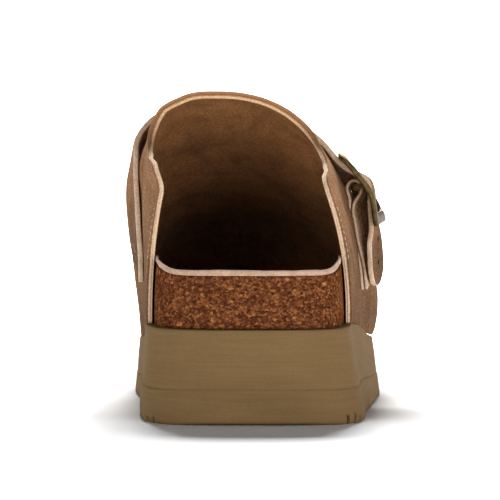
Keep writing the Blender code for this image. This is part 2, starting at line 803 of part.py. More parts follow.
def build_prong():
    """Wire hooked round the centre bar, lying over the top rail."""
    hook = BAR_RADIUS + GAP + PRONG_RADIUS
    path = []
    for turn in np.radians(np.linspace(*PRONG_HOOK, PRONG_HOOK_STEPS + 1)):
        path.append((BAR_AT + hook * math.cos(turn), BAR_LIFT + hook * math.sin(turn)))
    landing = BUCKLE_TOP + BUCKLE_RAIL
    rest = frame_lift(landing) + BUCKLE_THICKNESS / 2 + GAP + PRONG_RADIUS
    path.append(((path[-1][0] + landing) / 2, (path[-1][1] + rest) / 2))
    for s in (landing + PRONG_LANDING, BUCKLE_TOP + PRONG_LANDING, BUCKLE_TOP - PRONG_REACH):
        path.append((s, rest))
    wire = wire_curve("buckle_prong", [strap_line.point(s, lift, 0) for s, lift in path], PRONG_RADIUS)
    finish("buckle_prong", wire)


def main():
    for old in list(bpy.data.objects):
        bpy.data.objects.remove(old, do_unlink=True)
    for name in ("clog", "clog_cutters"):
        bpy.context.scene.collection.children.link(bpy.data.collections.new(name))
    build_sole()
    build_footbed()
    build_lining()
    build_upper()
    build_strap()
    build_tab()
    build_frame()
    build_prong()


main()
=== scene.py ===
"""Open-back suede clog, right shoe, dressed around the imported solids.

Shapes are worked out in millimetres in the shoe's own frame: d runs forward from the back of the
heel, x from the medial side (negative) to the lateral side, z up from the floor. place() turns
them into metres in the row frame. Each table starts with a row of column names.
"""

import math

import bmesh
import bpy
import numpy as np
from mathutils import Matrix, Vector, kdtree


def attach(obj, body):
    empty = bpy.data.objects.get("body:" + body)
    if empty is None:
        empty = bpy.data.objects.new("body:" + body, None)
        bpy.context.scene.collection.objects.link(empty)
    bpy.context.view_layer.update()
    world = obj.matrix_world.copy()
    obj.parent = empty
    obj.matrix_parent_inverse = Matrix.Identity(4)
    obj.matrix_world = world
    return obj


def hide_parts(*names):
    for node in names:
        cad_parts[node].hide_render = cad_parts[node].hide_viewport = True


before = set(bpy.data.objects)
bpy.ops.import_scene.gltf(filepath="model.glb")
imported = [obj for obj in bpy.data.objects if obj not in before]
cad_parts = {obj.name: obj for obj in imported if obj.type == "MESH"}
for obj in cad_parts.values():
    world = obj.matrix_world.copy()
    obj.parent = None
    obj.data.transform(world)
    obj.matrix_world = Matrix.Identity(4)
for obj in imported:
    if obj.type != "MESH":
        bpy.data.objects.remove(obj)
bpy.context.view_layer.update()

MM = 0.001
MEDIAL = -1
LATERAL = 1
SIDES = ((MEDIAL, "medial"), (LATERAL, "lateral"))
SHOE_LENGTH = 256.0
CENTRE_X = 2.4
CENTRE_D = SHOE_LENGTH / 2
GAP = 0.3
WALL = 2.3
TINY = 0.003
PROBE_D = 0.2
PROBE_Q = 0.004

HEEL_TIP = (0.0, 4.0)
TOE_TIP = (-4.0, 254.0)
BACK_FLARE = 4.0
TOE_FLARE = 2.0
OUTLINE_SAMPLES = 120
OUTLINE = (
    ("d", "medial", "lateral", "flare_medial", "flare_lateral"),
    (6.0, -19.4, 21.6, 3.8, 4.4),
    (13.0, -30.2, 31.9, 3.4, 5.2),
    (26.0, -35.8, 36.2, 2.8, 5.6),
    (45.0, -37.8, 37.8, 2.4, 5.2),
    (80.0, -39.0, 41.6, 2.2, 4.6),
    (115.0, -39.8, 45.4, 2.0, 4.0),
    (150.0, -43.2, 49.0, 2.0, 3.0),
    (180.0, -43.8, 48.0, 2.0, 2.6),
    (205.0, -43.4, 44.6, 2.0, 2.4),
    (226.0, -39.6, 36.8, 2.0, 2.2),
    (242.0, -30.0, 24.6, 2.0, 2.0),
)
LEVELS = (
    ("d", "under", "sole_top", "rim", "floor"),
    (0.0, 0.8, 34.0, 53.6, 44.0),
    (8.0, 0.0, 34.0, 53.6, 43.0),
    (26.0, 0.0, 34.0, 55.6, 42.0),
    (50.0, 0.0, 33.8, 57.0, 41.0),
    (75.0, 0.0, 32.0, 56.2, 42.0),
    (110.0, 0.0, 27.0, 48.0, 39.0),
    (150.0, 0.0, 23.0, 37.0, 32.0),
    (190.0, 0.0, 21.6, 32.0, 28.6),
    (220.0, 2.2, 22.0, 31.0, 28.0),
    (256.0, 8.0, 25.4, 32.0, 30.5),
)
SECTIONS = (
    ("d", "ridge_x", "rise", "round_medial", "round_lateral", "belly_medial", "belly_lateral"),
    (30.0, -4.0, 100.0, 2.0, 2.0, 0.2, 0.2),
    (60.0, -6.0, 92.0, 2.0, 1.78, 0.3, 0.3),
    (90.0, -10.0, 95.5, 2.9, 1.95, 1.9, 1.0),
    (105.0, -11.7, 93.7, 4.3, 2.25, 2.4, 1.3),
    (115.0, -12.6, 92.4, 4.4, 2.3, 2.6, 1.6),
    (150.0, -9.0, 77.0, 4.9, 2.0, 4.4, 4.0),
    (180.0, -7.0, 62.0, 2.8, 2.2, 3.2, 3.2),
    (210.0, -5.0, 49.5, 2.5, 2.3, 2.6, 2.4),
    (235.0, -4.0, 42.0, 2.3, 2.3, 2.0, 2.0),
    (254.0, -4.0, 36.0, 2.2, 2.2, 1.6, 1.6),
)
BELLY_SHIFT = {MEDIAL: 1.5, LATERAL: 0.75}
BELLY_FULL_WIDTH = 25.0
CORNER_EASE = 0.9
CORNER_SHARES = (0.92, 0.98)
WAIST_DEPTH = 2.4
WAIST_D = 106.0
WAIST_LENGTH = 16.0
TOE_ROUND_START = 205.0
TOE_ROUND_POWER = 2.4
COLLAR_FLARE = {MEDIAL: 10.5, LATERAL: 1.5}
COLLAR_FLARE_SHARES = (0.52, 0.68)
COLLAR_FLARE_FADE = (62.0, 104.0)
TOPLINE = (
    ("d_medial", "z_medial", "d_lateral", "z_lateral"),
    (45.0, 34.2, 45.0, 34.2),
    (46.5, 48.0, 46.5, 48.0),
    (50.0, 63.0, 50.5, 61.0),
    (54.5, 78.0, 55.5, 75.0),
    (58.0, 87.5, 60.0, 84.0),
    (62.5, 92.4, 65.0, 88.0),
    (71.0, 94.0, 75.0, 89.4),
    (86.0, 95.4, 88.0, 91.0),
    (96.0, 97.0, 97.0, 93.0),
    (101.5, 100.4, 102.0, 97.2),
    (106.0, 105.0, 106.0, 103.0),
    (111.0, 112.0, 111.0, 111.6),
    (114.5, 119.0, 114.5, 119.0),
)
BED_HEIGHT_SHARE = 0.55
BED_GAP = 0.5
BED_TOE_INSET = 1.6
BED_TOE_INSET_START = 225.0
CUP_POWER = 3.4
SPINE_HEEL = 38.0
SPINE_TOE = 222.0
SPINE_SHIFT = 0.3
LINING_THICKNESS = 1.35

STRAP_LINE = (
    ("q", "d"),
    (-1.0, 108.0),
    (-0.83, 113.0),
    (-0.5, 126.0),
    (-0.25, 139.0),
    (0.0, 144.0),
    (0.25, 139.0),
    (0.45, 131.5),
    (0.6, 126.0),
    (0.87, 116.5),
    (1.0, 112.0),
)
STRAP_LEVEL = 0.003
STRAP_Q_REACH = 0.99
STRAP_Q_SAMPLES = 397
STRAP_WIDTH = 27.0
STRAP_THICKNESS = 2.4
STRAP_MEDIAL_HEIGHT = 49.5
STRAP_FREE_HEIGHT = 45.0
STRAP_TIP_LENGTH = 12.0
STRAP_TIP_SHARE = 0.22
BUCKLE_TOP_HEIGHT = 90.0
BUCKLE_LENGTH = 28.0
BUCKLE_WIDTH = 37.0
BUCKLE_RAIL = 4.2
BUCKLE_CORNER = 6.0
BUCKLE_WINDOW_CORNER = 2.4
BUCKLE_THICKNESS = 2.2
BAR_PLACE = 13.5
BAR_RADIUS = 1.15
BAR_LIFT = 4.6
FRAME_LIFTS = (
    ("place", "lift"),
    (0.0, 4.6),
    (9.0, 7.2),
    (18.0, 10.2),
    (BUCKLE_LENGTH, 9.3),
)
PRONG_RADIUS = 0.75
PRONG_REACH = 1.5
PRONG_LANDING = 1.0
TAB_WIDTH = 22.0
TAB_THICKNESS = 1.2
TAB_END_HEIGHT = 46.0
LOOP_RADIUS = 2.9
LOOP_TURN = (-90.0, -305.0)
LOOP_START = 1.0
LOOP_PINCH = 4.8
SLOT_WIDTH = 2.6
STRAP_MEDIAL_LIFTS = (
    ("z", "lift", "lean"),
    (STRAP_MEDIAL_HEIGHT, 1.7, 0.0),
    (62.0, 1.9, 0.03),
    (75.0, 2.1, 0.03),
    (90.0, 3.0, -0.01),
    (95.0, 3.6, -0.04),
    (100.0, 2.6, -0.03),
    (102.5, 2.0, 0.0),
)
STRAP_LIFT_TOP = 1.7
STRAP_LIFTS = (
    ("place", "lift", "lean"),
    (-14.0, 1.7, 0.0),
    (0.0, 2.0, 0.0),
    (4.6, 2.7, -0.05),
    (9.0, 5.4, -0.1),
    (BAR_PLACE, 9.7, -0.02),
    (BUCKLE_LENGTH - 5.0, 7.2, -0.06),
    (BUCKLE_LENGTH, 6.5, -0.05),
    (BUCKLE_LENGTH + 6.0, 5.3, 0.0),
    (BUCKLE_LENGTH + 16.0, 4.5, 0.0),
    (BUCKLE_LENGTH + 40.0, 4.4, 0.0),
)


def column(table, name):
    place_in_row = table[0].index(name)
    return np.array([row[place_in_row] for row in table[1:]], float)


def smooth_curve(xs, ys):
    """Monotone cubic through the points, held level beyond both ends."""
    xs = np.asarray(xs, float)
    ys = np.asarray(ys, float)
    steps = np.diff(xs)
    slopes = np.diff(ys) / steps
    tangents = np.zeros(len(xs))
    for k in range(1, len(xs) - 1):
        if slopes[k - 1] * slopes[k] > 0:
            left = 2 * steps[k] + steps[k - 1]
            right = steps[k] + 2 * steps[k - 1]
            tangents[k] = (left + right) / (left / slopes[k - 1] + right / slopes[k])

    def at(value):
        value = np.clip(value, xs[0], xs[-1])
        k = np.clip(np.searchsorted(xs, value) - 1, 0, len(steps) - 1)
        t = (value - xs[k]) / steps[k]
        level = ys[k] * (1 + 2 * t) * (1 - t) ** 2 + ys[k + 1] * t * t * (3 - 2 * t)
        lean = tangents[k] * t * (1 - t) ** 2 - tangents[k + 1] * t * t * (1 - t)
        return level + steps[k] * lean

    return at


def table_curve(table, name, along="d"):
    return smooth_curve(column(table, along), column(table, name))


def bump(value, centre, width):
    return np.exp(-(((value - centre) / width) ** 2))


def smooth_step(value, low, high):
    t = np.clip((value - low) / (high - low), 0, 1)
    return t * t * (3 - 2 * t)


def closed_spline(points, samples):
    """Periodic cubic spline through the points, spaced by chord length."""
    points = np.asarray(points, float)
    count = len(points)
    chords = np.linalg.norm(np.roll(points, -1, 0) - points, axis=1)
    system = np.zeros((count, count))
    right = np.zeros((count, 2))
    for k in range(count):
        before = chords[k - 1]
        after = chords[k]
        system[k, k - 1] = before
        system[k, k] = 2 * (before + after)
        system[k, (k + 1) % count] = after
        ahead = (points[(k + 1) % count] - points[k]) / after
        behind = (points[k] - points[k - 1]) / before
        right[k] = 6 * (ahead - behind)
    bends = np.linalg.solve(system, right)
    curve = []
    for k in range(count):
        after = (k + 1) % count
        chord = chords[k]
        t = np.linspace(0, chord, samples, endpoint=False)[:, None]
        bent = (bends[k] * (chord - t) ** 3 + bends[after] * t**3) / (6 * chord)
        start = (points[k] / chord - bends[k] * chord / 6) * (chord - t)
        end = (points[after] / chord - bends[after] * chord / 6) * t
        curve.append(bent + start + end)
    return np.concatenate(curve)


def outline_sides():
    """The sole's upper edge as a function of side and d, with its ends at heel and toe."""
    d = column(OUTLINE, "d")
    lateral = np.stack([column(OUTLINE, "lateral"), d], 1)
    medial = np.stack([column(OUTLINE, "medial"), d], 1)
    corners = np.concatenate([[HEEL_TIP], lateral, [TOE_TIP], medial[::-1]])
    curve = closed_spline(corners, OUTLINE_SAMPLES)
    curve = np.roll(curve, -int(np.argmin(curve[:, 1])), 0)
    high = int(np.argmax(curve[:, 1]))
    branches = {
        LATERAL: curve[: high + 1],
        MEDIAL: np.concatenate([curve[high:], curve[:1]])[::-1],
    }

    def edge(side, d_value):
        return np.interp(d_value, branches[side][:, 1], branches[side][:, 0])

    return edge, float(curve[0, 1]), float(curve[high, 1])


edge_x, EDGE_HEEL, EDGE_TOE = outline_sides()
under_z, sole_top_z, rim_z, floor_z = [table_curve(LEVELS, name) for name in LEVELS[0][1:]]
ridge_x, full_rise = [table_curve(SECTIONS, name) for name in ("ridge_x", "rise")]
ROUND, BELLY = [
    {side: table_curve(SECTIONS, f"{kind}_{name}") for side, name in SIDES} for kind in ("round", "belly")
]


def feather_z(d):
    return sole_top_z(d) + GAP


def rise(d):
    """Height of the last above the sole, closing like an egg at the toe."""
    t = np.clip((d - TOE_ROUND_START) / (EDGE_TOE - TOE_ROUND_START), 0, 1)
    return full_rise(d) * np.sqrt(np.maximum(1 - t**TOE_ROUND_POWER, 0))


def by_side(q, values):
    return np.where(q < 0, values[MEDIAL], values[LATERAL])


def upper_points(d, q):
    """Outer face of the upper at stations d; q runs from -1 (medial foot) to 1 (lateral foot)."""
    d, q = np.broadcast_arrays(np.asarray(d, float), np.asarray(q, float))
    medial = q < 0
    share = np.sin((1 - np.abs(q)) * np.pi / 2)
    eased = ROUND[MEDIAL](d) - CORNER_EASE * smooth_step(share, *CORNER_SHARES)
    power = np.where(medial, eased, ROUND[LATERAL](d))
    middle = ridge_x(d)
    half = np.where(medial, edge_x(MEDIAL, d), edge_x(LATERAL, d)) - middle
    belly = np.where(medial, BELLY[MEDIAL](d), BELLY[LATERAL](d))
    belly = belly * np.minimum(1, np.abs(half) / BELLY_FULL_WIDTH)
    waist = np.where(medial, 0.0, WAIST_DEPTH) * bump(d, WAIST_D, WAIST_LENGTH)
    belly = (belly - waist) * np.sin(np.pi * share ** by_side(q, BELLY_SHIFT))
    flare = by_side(q, COLLAR_FLARE) * smooth_step(share, *COLLAR_FLARE_SHARES)
    flare = flare * (1 - smooth_step(d, *COLLAR_FLARE_FADE)) * np.cos(share * np.pi / 2)
    side = np.where(medial, MEDIAL, LATERAL)
    reach = half * np.maximum(1 - share**power, 0) ** (1 / power) + side * (belly + flare)
    return np.stack([middle + reach, d, feather_z(d) + rise(d) * share], -1)


def unit(vectors):
    return vectors / np.maximum(np.linalg.norm(vectors, axis=-1, keepdims=True), 1e-12)


def circle(count):
    """Angles evenly round a full turn."""
    return np.linspace(0, 2 * np.pi, count, endpoint=False)


def run_along(path):
    """Length along the path up to each of its points."""
    return np.concatenate([[0], np.cumsum(np.linalg.norm(np.diff(path, axis=0), axis=1))])


def upper_normals(d, q):
    """Outward directions of the upper's face."""
    d, q = np.broadcast_arrays(np.asarray(d, float), np.asarray(q, float))
    ahead = upper_points(np.minimum(d + PROBE_D, EDGE_TOE), q) - upper_points(d - PROBE_D, q)
    across = upper_points(d, np.minimum(q + PROBE_Q, 1)) - upper_points(d, np.maximum(q - PROBE_Q, -1))
    return unit(np.cross(across, ahead))


def over_upper(d, q, lift):
    return upper_points(d, q) + upper_normals(d, q) * np.asarray(lift, float)[..., None]


def q_at(side, d, z):
    """Where the upper's section at d reaches the height z."""
    share = np.clip((z - feather_z(d)) / rise(d), 0, 1)
    return side * (1 - np.arcsin(share) * 2 / np.pi)


class StrapLine:
    """Distances along the strap's middle, from the top line of the upper, lateral positive."""

    def __init__(self):
        self.d_at = table_curve(STRAP_LINE, "d", along="q")
        self.q = np.linspace(-STRAP_Q_REACH, STRAP_Q_REACH, STRAP_Q_SAMPLES)
        path = upper_points(self.d_at(self.q), self.q)
        run = run_along(path)
        self.s = run - np.interp(0.0, self.q, run)
        self.z = path[:, 2]

    def at_height(self, side, z):
        picked = self.q * side > 0
        order = np.argsort(self.z[picked])
        return float(np.interp(z, self.z[picked][order], self.s[picked][order]))

    def points(self, s, lift, across):
        """Places at s along the strap, lifted off the upper, and across towards the toe."""
        s, lift, across = np.broadcast_arrays(*(np.asarray(v, float) for v in (s, lift, across)))
        q = np.interp(s, self.s, self.q)
        return over_upper(self.d_at(q) + across, q * (1 - STRAP_LEVEL * across), lift)


strap_line = StrapLine()
STRAP_START = strap_line.at_height(MEDIAL, STRAP_MEDIAL_HEIGHT)
STRAP_END = strap_line.at_height(LATERAL, STRAP_FREE_HEIGHT)
BUCKLE_TOP = strap_line.at_height(LATERAL, BUCKLE_TOP_HEIGHT)
BUCKLE_MIDDLE = BUCKLE_TOP + BUCKLE_LENGTH / 2
BAR_AT = BUCKLE_TOP + BAR_PLACE
BUCKLE_LOW = BUCKLE_TOP + BUCKLE_LENGTH


def place(points):
    return (np.asarray(points, float) - (CENTRE_X, CENTRE_D, 0)) * MM


def lattice(i, j, k, seed):
    """Fixed pseudo-random value between -1 and 1 at each whole place."""
    h = (i * 374761393 + j * 668265263 + k * 1440662683 + seed * 987643321) & 0xFFFFFFFF
    h = ((h ^ (h >> 13)) * 1274126177) & 0xFFFFFFFF
    h = h ^ (h >> 16)
    return (h & 0xFFFF) / 32767.5 - 1


def noise(points, size, seed):
    """Smooth value noise with lumps of about the given size in millimetres."""
    p = np.asarray(points, float) / size
    base = np.floor(p).astype(np.int64)
    f = p - base
    f = f * f * (3 - 2 * f)
    total = 0
    for corner in range(8):
        step = np.array([corner & 1, corner >> 1 & 1, corner >> 2 & 1])
        weight = np.prod(np.where(step, f, 1 - f), axis=-1)
        cell = base + step
        total = total + weight * lattice(cell[..., 0], cell[..., 1], cell[..., 2], seed)
    return total


def new_object(name, data):
    made = bpy.data.objects.new(name, data)
    bpy.context.scene.collection.objects.link(made)
    return made


def make_piece(name, points, faces, node, materials, which=None, attributes=None):
    """A mesh piece of the shoe that stands for a CAD node."""
    mesh = bpy.data.meshes.new(name)
    mesh.from_pydata(place(points).tolist(), [], [tuple(int(i) for i in f) for f in faces])
    for material in materials:
        mesh.materials.append(material)
    if which is not None:
        mesh.polygons.foreach_set("material_index", np.asarray(which, np.int32))
    for key, values in (attributes or {}).items():
        attribute = mesh.attributes.new(key, "FLOAT", "POINT")
        attribute.data.foreach_set("value", np.asarray(values, np.float32))
    piece = new_object(name, mesh)
    close_mesh(mesh)
    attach(piece, "root")
    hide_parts(node)
    return piece


def close_mesh(mesh):
    """Faces outward, smooth."""
    work = bmesh.new()
    work.from_mesh(mesh)
    bmesh.ops.remove_doubles(work, verts=work.verts, dist=1e-7)
    bmesh.ops.recalc_face_normals(work, faces=work.faces)
    if work.calc_volume(signed=True) < 0:
        bmesh.ops.reverse_faces(work, faces=work.faces)
    for face in work.faces:
        face.smooth = True
    work.to_mesh(mesh)
    work.free()


def grid_quads(rows, width, start=0, wrap=False):
    """Quads of a grid of points stored row after row."""
    j, i = np.meshgrid(np.arange(rows - 1), np.arange(width if wrap else width - 1), indexing="ij")
    a = start + j * width + i
    b = start + j * width + (i + 1) % width
    return np.stack([a, a + width, b + width, b], -1).reshape(-1, 4)


def tube_faces(rows, sides, start=0):
    """Faces of rings stored one after another, closed at both ends."""
    end = start + rows * sides
    caps = [range(start, start + sides), range(end - 1, end - 1 - sides, -1)]
    return list(grid_quads(rows, sides, start, wrap=True)) + caps


def cut(piece, cutter, operation="DIFFERENCE"):
    """Boolean, applied at once; the tool object goes."""
    modifier = piece.modifiers.new(operation.lower(), "BOOLEAN")
    modifier.operation = operation
    modifier.solver = "EXACT"
    modifier.object = cutter
    graph = bpy.context.evaluated_depsgraph_get()
    made = bpy.data.meshes.new_from_object(piece.evaluated_get(graph))
    piece.modifiers.remove(modifier)
    old = piece.data
    piece.data = made
    bpy.data.meshes.remove(old)
    bpy.data.objects.remove(cutter, do_unlink=True)
    made.name = piece.name


def tool_object(name, work):
    """A loose mesh used as a Boolean tool, in metres in the row frame."""
    mesh = bpy.data.meshes.new(name)
    bmesh.ops.recalc_face_normals(work, faces=work.faces)
    work.to_mesh(mesh)
    work.free()
    return new_object(name, mesh)


# Upper


EDGE_FINE = 1200
EDGE_COUNT = 1601
ARCH_WEIGHT = 0.7
WALK_STEPS = 4
WALK_D = 0.05
WALK_Q = 0.002
STITCH_INSET = {MEDIAL: 3.3, LATERAL: 5.0}
STITCH_INSET_CHANGE = (-5.0, 20.0)
STITCH_DENT = 0.14
EDGE_ROUND = 0.9
LIP_HEIGHT = 1.0
LIP_LEVELS = (97.0, 106.0)
LIP_LENGTH = 5.0
SWELL_HEIGHT = 1.6
SWELL_LEVEL = 91.0
SWELL_REACH = 9.0
CREASES = (
    ("d", "depth", "lean", "seed"),
    (162.0, 0.34, 0.16, 1),
    (170.0, 0.42, -0.1, 2),
    (179.0, 0.36, 0.08, 4),
)


def topline_points(count):
    """(d, q) along the cut edge, medial foot to lateral foot, closer together over the arch."""
    halves = []
    index = np.arange(len(TOPLINE) - 1)
    fine = np.linspace(0, index[-1], EDGE_FINE)
    for side, name in SIDES:
        d = smooth_curve(index, column(TOPLINE, f"d_{name}"))(fine)
        q = q_at(side, d, smooth_curve(index, column(TOPLINE, f"z_{name}"))(fine))
        q[-1] = 0.0
        halves.append((d, q))
    d, q = [np.concatenate([medial, lateral[-2::-1]]) for medial, lateral in zip(*halves)]
    run = np.linalg.norm(np.diff(upper_points(d, q), axis=0), axis=1)
    measure = np.concatenate([[0], np.cumsum(run / run.sum() + ARCH_WEIGHT * np.abs(np.diff(q)) / 2)])
    wanted = np.linspace(0, measure[-1], count)
    return np.interp(wanted, measure, d), np.interp(wanted, measure, q)


EDGE_D, EDGE_Q = topline_points(EDGE_COUNT)
EDGE_POINTS = upper_points(EDGE_D, EDGE_Q)
EDGE_TREE = kdtree.KDTree(EDGE_COUNT)
for number, point in enumerate(EDGE_POINTS):
    EDGE_TREE.insert(point, number)
EDGE_TREE.balance()


def edge_distance(points):
    return np.array([EDGE_TREE.find(p)[2] for p in points])


def walk(d, q, move):
    """(d, q) after a small move along the upper's face."""
    for _ in range(WALK_STEPS):
        along = (upper_points(d + WALK_D, q) - upper_points(d - WALK_D, q)) / (2 * WALK_D)
        q_low, q_high = [np.clip(q + step, -1, 1) for step in (-WALK_Q, WALK_Q)]
        over = (upper_points(d, q_high) - upper_points(d, q_low)) / (q_high - q_low)[:, None]
        a = (along * along).sum(1)
        b = (along * over).sum(1)
        c = (over * over).sum(1)
        u = (along * move / WALK_STEPS).sum(1)
        v = (over * move / WALK_STEPS).sum(1)
        det = a * c - b * b
        d = d + (c * u - b * v) / det
        q = np.clip(q + (a * v - b * u) / det, -1, 1)
    return d, q


def edge_inward():
    """Direction on the face that leads from the cut edge into the leather."""
    tangent = unit(np.gradient(EDGE_POINTS, axis=0))
    return unit(np.cross(upper_normals(EDGE_D, EDGE_Q), tangent))


def upper_relief(points, edge, d):
    """How far the outer face stands in or out of the last's plain shape."""
    x, z = points[:, 0], points[:, 2]
    height = z - feather_z(d)
    relief = -0.25 * np.maximum(0, 1 - edge / EDGE_ROUND) ** 2
    relief += LIP_HEIGHT * smooth_step(z, *LIP_LEVELS) * np.maximum(0, 1 - edge / LIP_LENGTH)
    change = smooth_step(x, *STITCH_INSET_CHANGE)
    inset = STITCH_INSET[MEDIAL] + (STITCH_INSET[LATERAL] - STITCH_INSET[MEDIAL]) * change
    relief -= STITCH_DENT * bump(edge, inset, 0.6)
    relief += 0.18 * bump(edge, 1.8, 0.8)
    relief += 0.45 * noise(points, 30, 3) * smooth_step(edge, 2, 20)
    relief += 0.16 * noise(points, 12, 5) * smooth_step(edge, 2, 12)
    relief += 0.05 * noise(points, 3.2, 7)
    for place_d, depth, lean, seed in CREASES[1:]:
        wave = 2.4 * noise(points * (1, 0, 0) + seed * 10, 18, 11)
        line = d - place_d - lean * x - wave
        fade = smooth_step(height, 6, 22) * (0.6 + 0.4 * noise(points, 22, 13))
        relief -= depth * bump(line, 0, 2.0) * fade
        relief += 0.5 * depth * bump(line, 4.4, 3.0) * fade
    relief -= 0.2 * np.exp(-np.maximum(height, 0) / 1.3)
    under_strap = smooth_step(d, 102, 114) * (1 - smooth_step(d, 124, 142))
    under_strap = under_strap * bump(z, SWELL_LEVEL, SWELL_REACH)
    relief += SWELL_HEIGHT * under_strap * (x < 0)
    return relief


UPPER_ROWS = 211
UPPER_STATIONS = 125
UPPER_CROWDING = 1.7
NEAR_EDGE = np.array([0, 0.35, 0.8, 1.3, 1.9, 2.5, 3.0, 3.5, 4.1, 4.9, 5.9]) / 190
CUT_PROFILE = (
    ("share", "stand"),
    (0.06, 0.16),
    (0.16, 0.3),
    (0.3, 0.36),
    (0.42, 0.22),
    (0.5, -0.22),
    (0.56, -0.3),
    (0.64, 0.0),
    (0.76, 0.12),
    (0.88, 0.1),
    (0.95, 0.04),
)
FLAP_TOP = (93.0, 100.0)
OUTER, CUT, INNER = 0, 1, 2


def build_upper(materials):
    rows = UPPER_ROWS
    d_start, q_row = topline_points(rows)
    far = 1 - (1 - np.linspace(0, 1, UPPER_STATIONS)[1:-1]) ** UPPER_CROWDING * (1 - NEAR_EDGE[-1])
    shares = np.concatenate([NEAR_EDGE, far])
    width = len(shares)
    d = (d_start[:, None] + (EDGE_TOE - d_start[:, None]) * shares).reshape(-1)
    q = np.repeat(q_row, width)
    plain = upper_points(d, q)
    normal = upper_normals(d, q)
    edge = edge_distance(plain)
    outer = plain + normal * upper_relief(plain, edge, d)[:, None]
    inner_relief = 0.2 * np.maximum(0, 1 - edge / EDGE_ROUND) ** 2
    inner_relief += 0.25 * noise(plain, 22, 17) * smooth_step(edge, 2, 14)
    inner = plain + normal * (inner_relief - WALL)[:, None]
    tip_outer = np.array([TOE_TIP[0], EDGE_TOE, float(feather_z(EDGE_TOE))])
    tip_inner = tip_outer - (0, WALL, 0)

    first = np.arange(rows) * width
    start = plain[first]
    inward = edge_inward()[[EDGE_TREE.find(p)[1] for p in start]]
    rough = 0.14 * noise(start, 1.6, 19) + 0.1 * noise(start, 5, 23)
    cut_points = []
    for share, stand in CUT_PROFILE[1:]:
        out = stand + (rough + 0.07 * noise(start + share * 40, 0.9, 29))
        cut_points.append(outer[first] + (inner[first] - outer[first]) * share + inward * out[:, None])
    cut_points = np.stack(cut_points, 1).reshape(-1, 3)

    points = np.concatenate([outer, [tip_outer], inner, [tip_inner], cut_points])
    size = rows * width
    tips = (size, 2 * size + 1)
    inner_at = size + 1
    cut_at = 2 * size + 2
    faces = []
    which = []

    def add(quads, material):
        faces.extend(quads)
        which.extend([material] * len(quads))

    add(grid_quads(rows, width), OUTER)
    last = np.arange(rows - 1) * width + width - 1
    add([(a, a + width, tips[0]) for a in last], OUTER)
    add(grid_quads(rows, width, inner_at)[:, ::-1], INNER)
    add([(inner_at + a + width, inner_at + a, tips[1]) for a in last], INNER)
    count = len(CUT_PROFILE) - 1
    cut_grid = cut_at + np.arange(rows * count).reshape(rows, count)
    strip = np.concatenate([first[:, None], cut_grid, inner_at + first[:, None]], 1)
    for k in range(count + 1):
        low = strip[:-1, k : k + 2]
        high = strip[1:, k : k + 2]
        add(np.stack([low[:, 0], low[:, 1], high[:, 1], high[:, 0]], 1), CUT)
    for row, turn in ((0, 1), (rows - 1, -1)):
        line = np.append(row * width + np.arange(width), tips[0])
        under = np.append(inner_at + row * width + np.arange(width), tips[1])
        add([(a, b, e, c)[::turn] for a, b, c, e in zip(line, line[1:], under, under[1:])], INNER)
        add([tuple(strip[row])[::turn]], CUT)
    profile = np.tile(column(CUT_PROFILE, "share"), rows)
    across = np.concatenate([np.zeros(size + 1), np.ones(size + 1), profile])
    flap = 1 - smooth_step(points[:, 2], *FLAP_TOP)
    marks = {"across": across, "flap": flap}
    make_piece("upper_shell", points, faces, "upper", materials, which, marks)


STITCH_RINGS = (
    ("along", "size", "lift"),
    (-0.5, 0.25, -0.45),
    (-0.44, 0.7, -0.12),
    (-0.3, 1.0, 0.12),
    (0.0, 1.0, 0.2),
    (0.3, 1.0, 0.12),
    (0.44, 0.7, -0.12),
    (0.5, 0.25, -0.45),
)
STITCH_SIDES = 8
STITCH_FLATTEN = 1.15
STITCH_SHIFT = 0.12


def stitches(name, path, normals, node, slot, material, length=2.3, pitch=3.1, radius=0.34):
    """Thread lying along a path, one short rounded bar for each stitch."""
    run = run_along(path)
    count = int(run[-1] // pitch)
    points = []
    faces = []

    def at(lines, s):
        return np.array([np.interp(s, run, c) for c in lines.T])

    for k in range(count):
        middle = (k + 0.5) * run[-1] / count
        start = len(points)
        shift = STITCH_SHIFT * float(lattice(k, 3, 5, 31))
        for along, size, lift in STITCH_RINGS[1:]:
            s = middle + along * length
            p = at(path, s)
            n = unit(at(normals, s))
            side = unit(np.cross(at(path, s + 0.2) - p, n))
            for turn in circle(STITCH_SIDES):
                ring = side * math.cos(turn) * STITCH_FLATTEN + n * math.sin(turn)
                points.append(p + side * shift * along + n * lift * radius + ring * size * radius)
        faces += tube_faces(len(STITCH_RINGS) - 1, STITCH_SIDES, start)
    make_piece(name, np.array(points), faces, node, [material])


COLLAR_STITCH_LEVELS = (57.0, 77.0)


def build_collar_stitches(material):
    """Thread along the flaps, set into the leather a little way in from the cut edge."""
    inward = edge_inward()
    for side, name in SIDES:
        d, q = walk(EDGE_D, EDGE_Q, inward * STITCH_INSET[side])
        height = upper_points(d, q)[:, 2]
        low, high = COLLAR_STITCH_LEVELS
        keep = (height > low) & (height < high) & (q * side > 0)
        d, q = d[keep], q[keep]
        normal = upper_normals(d, q)
        path = upper_points(d, q)
        relief = upper_relief(path, edge_distance(path), d)
        path = path + normal * (relief + STITCH_DENT)[:, None]
        sizes = {"length": 1.4, "pitch": 2.2, "radius": 0.3}
        stitches(f"collar_stitches_{name}", path, normal, "upper", "upper_suede", material, **sizes)


# Strap, tab and buckle


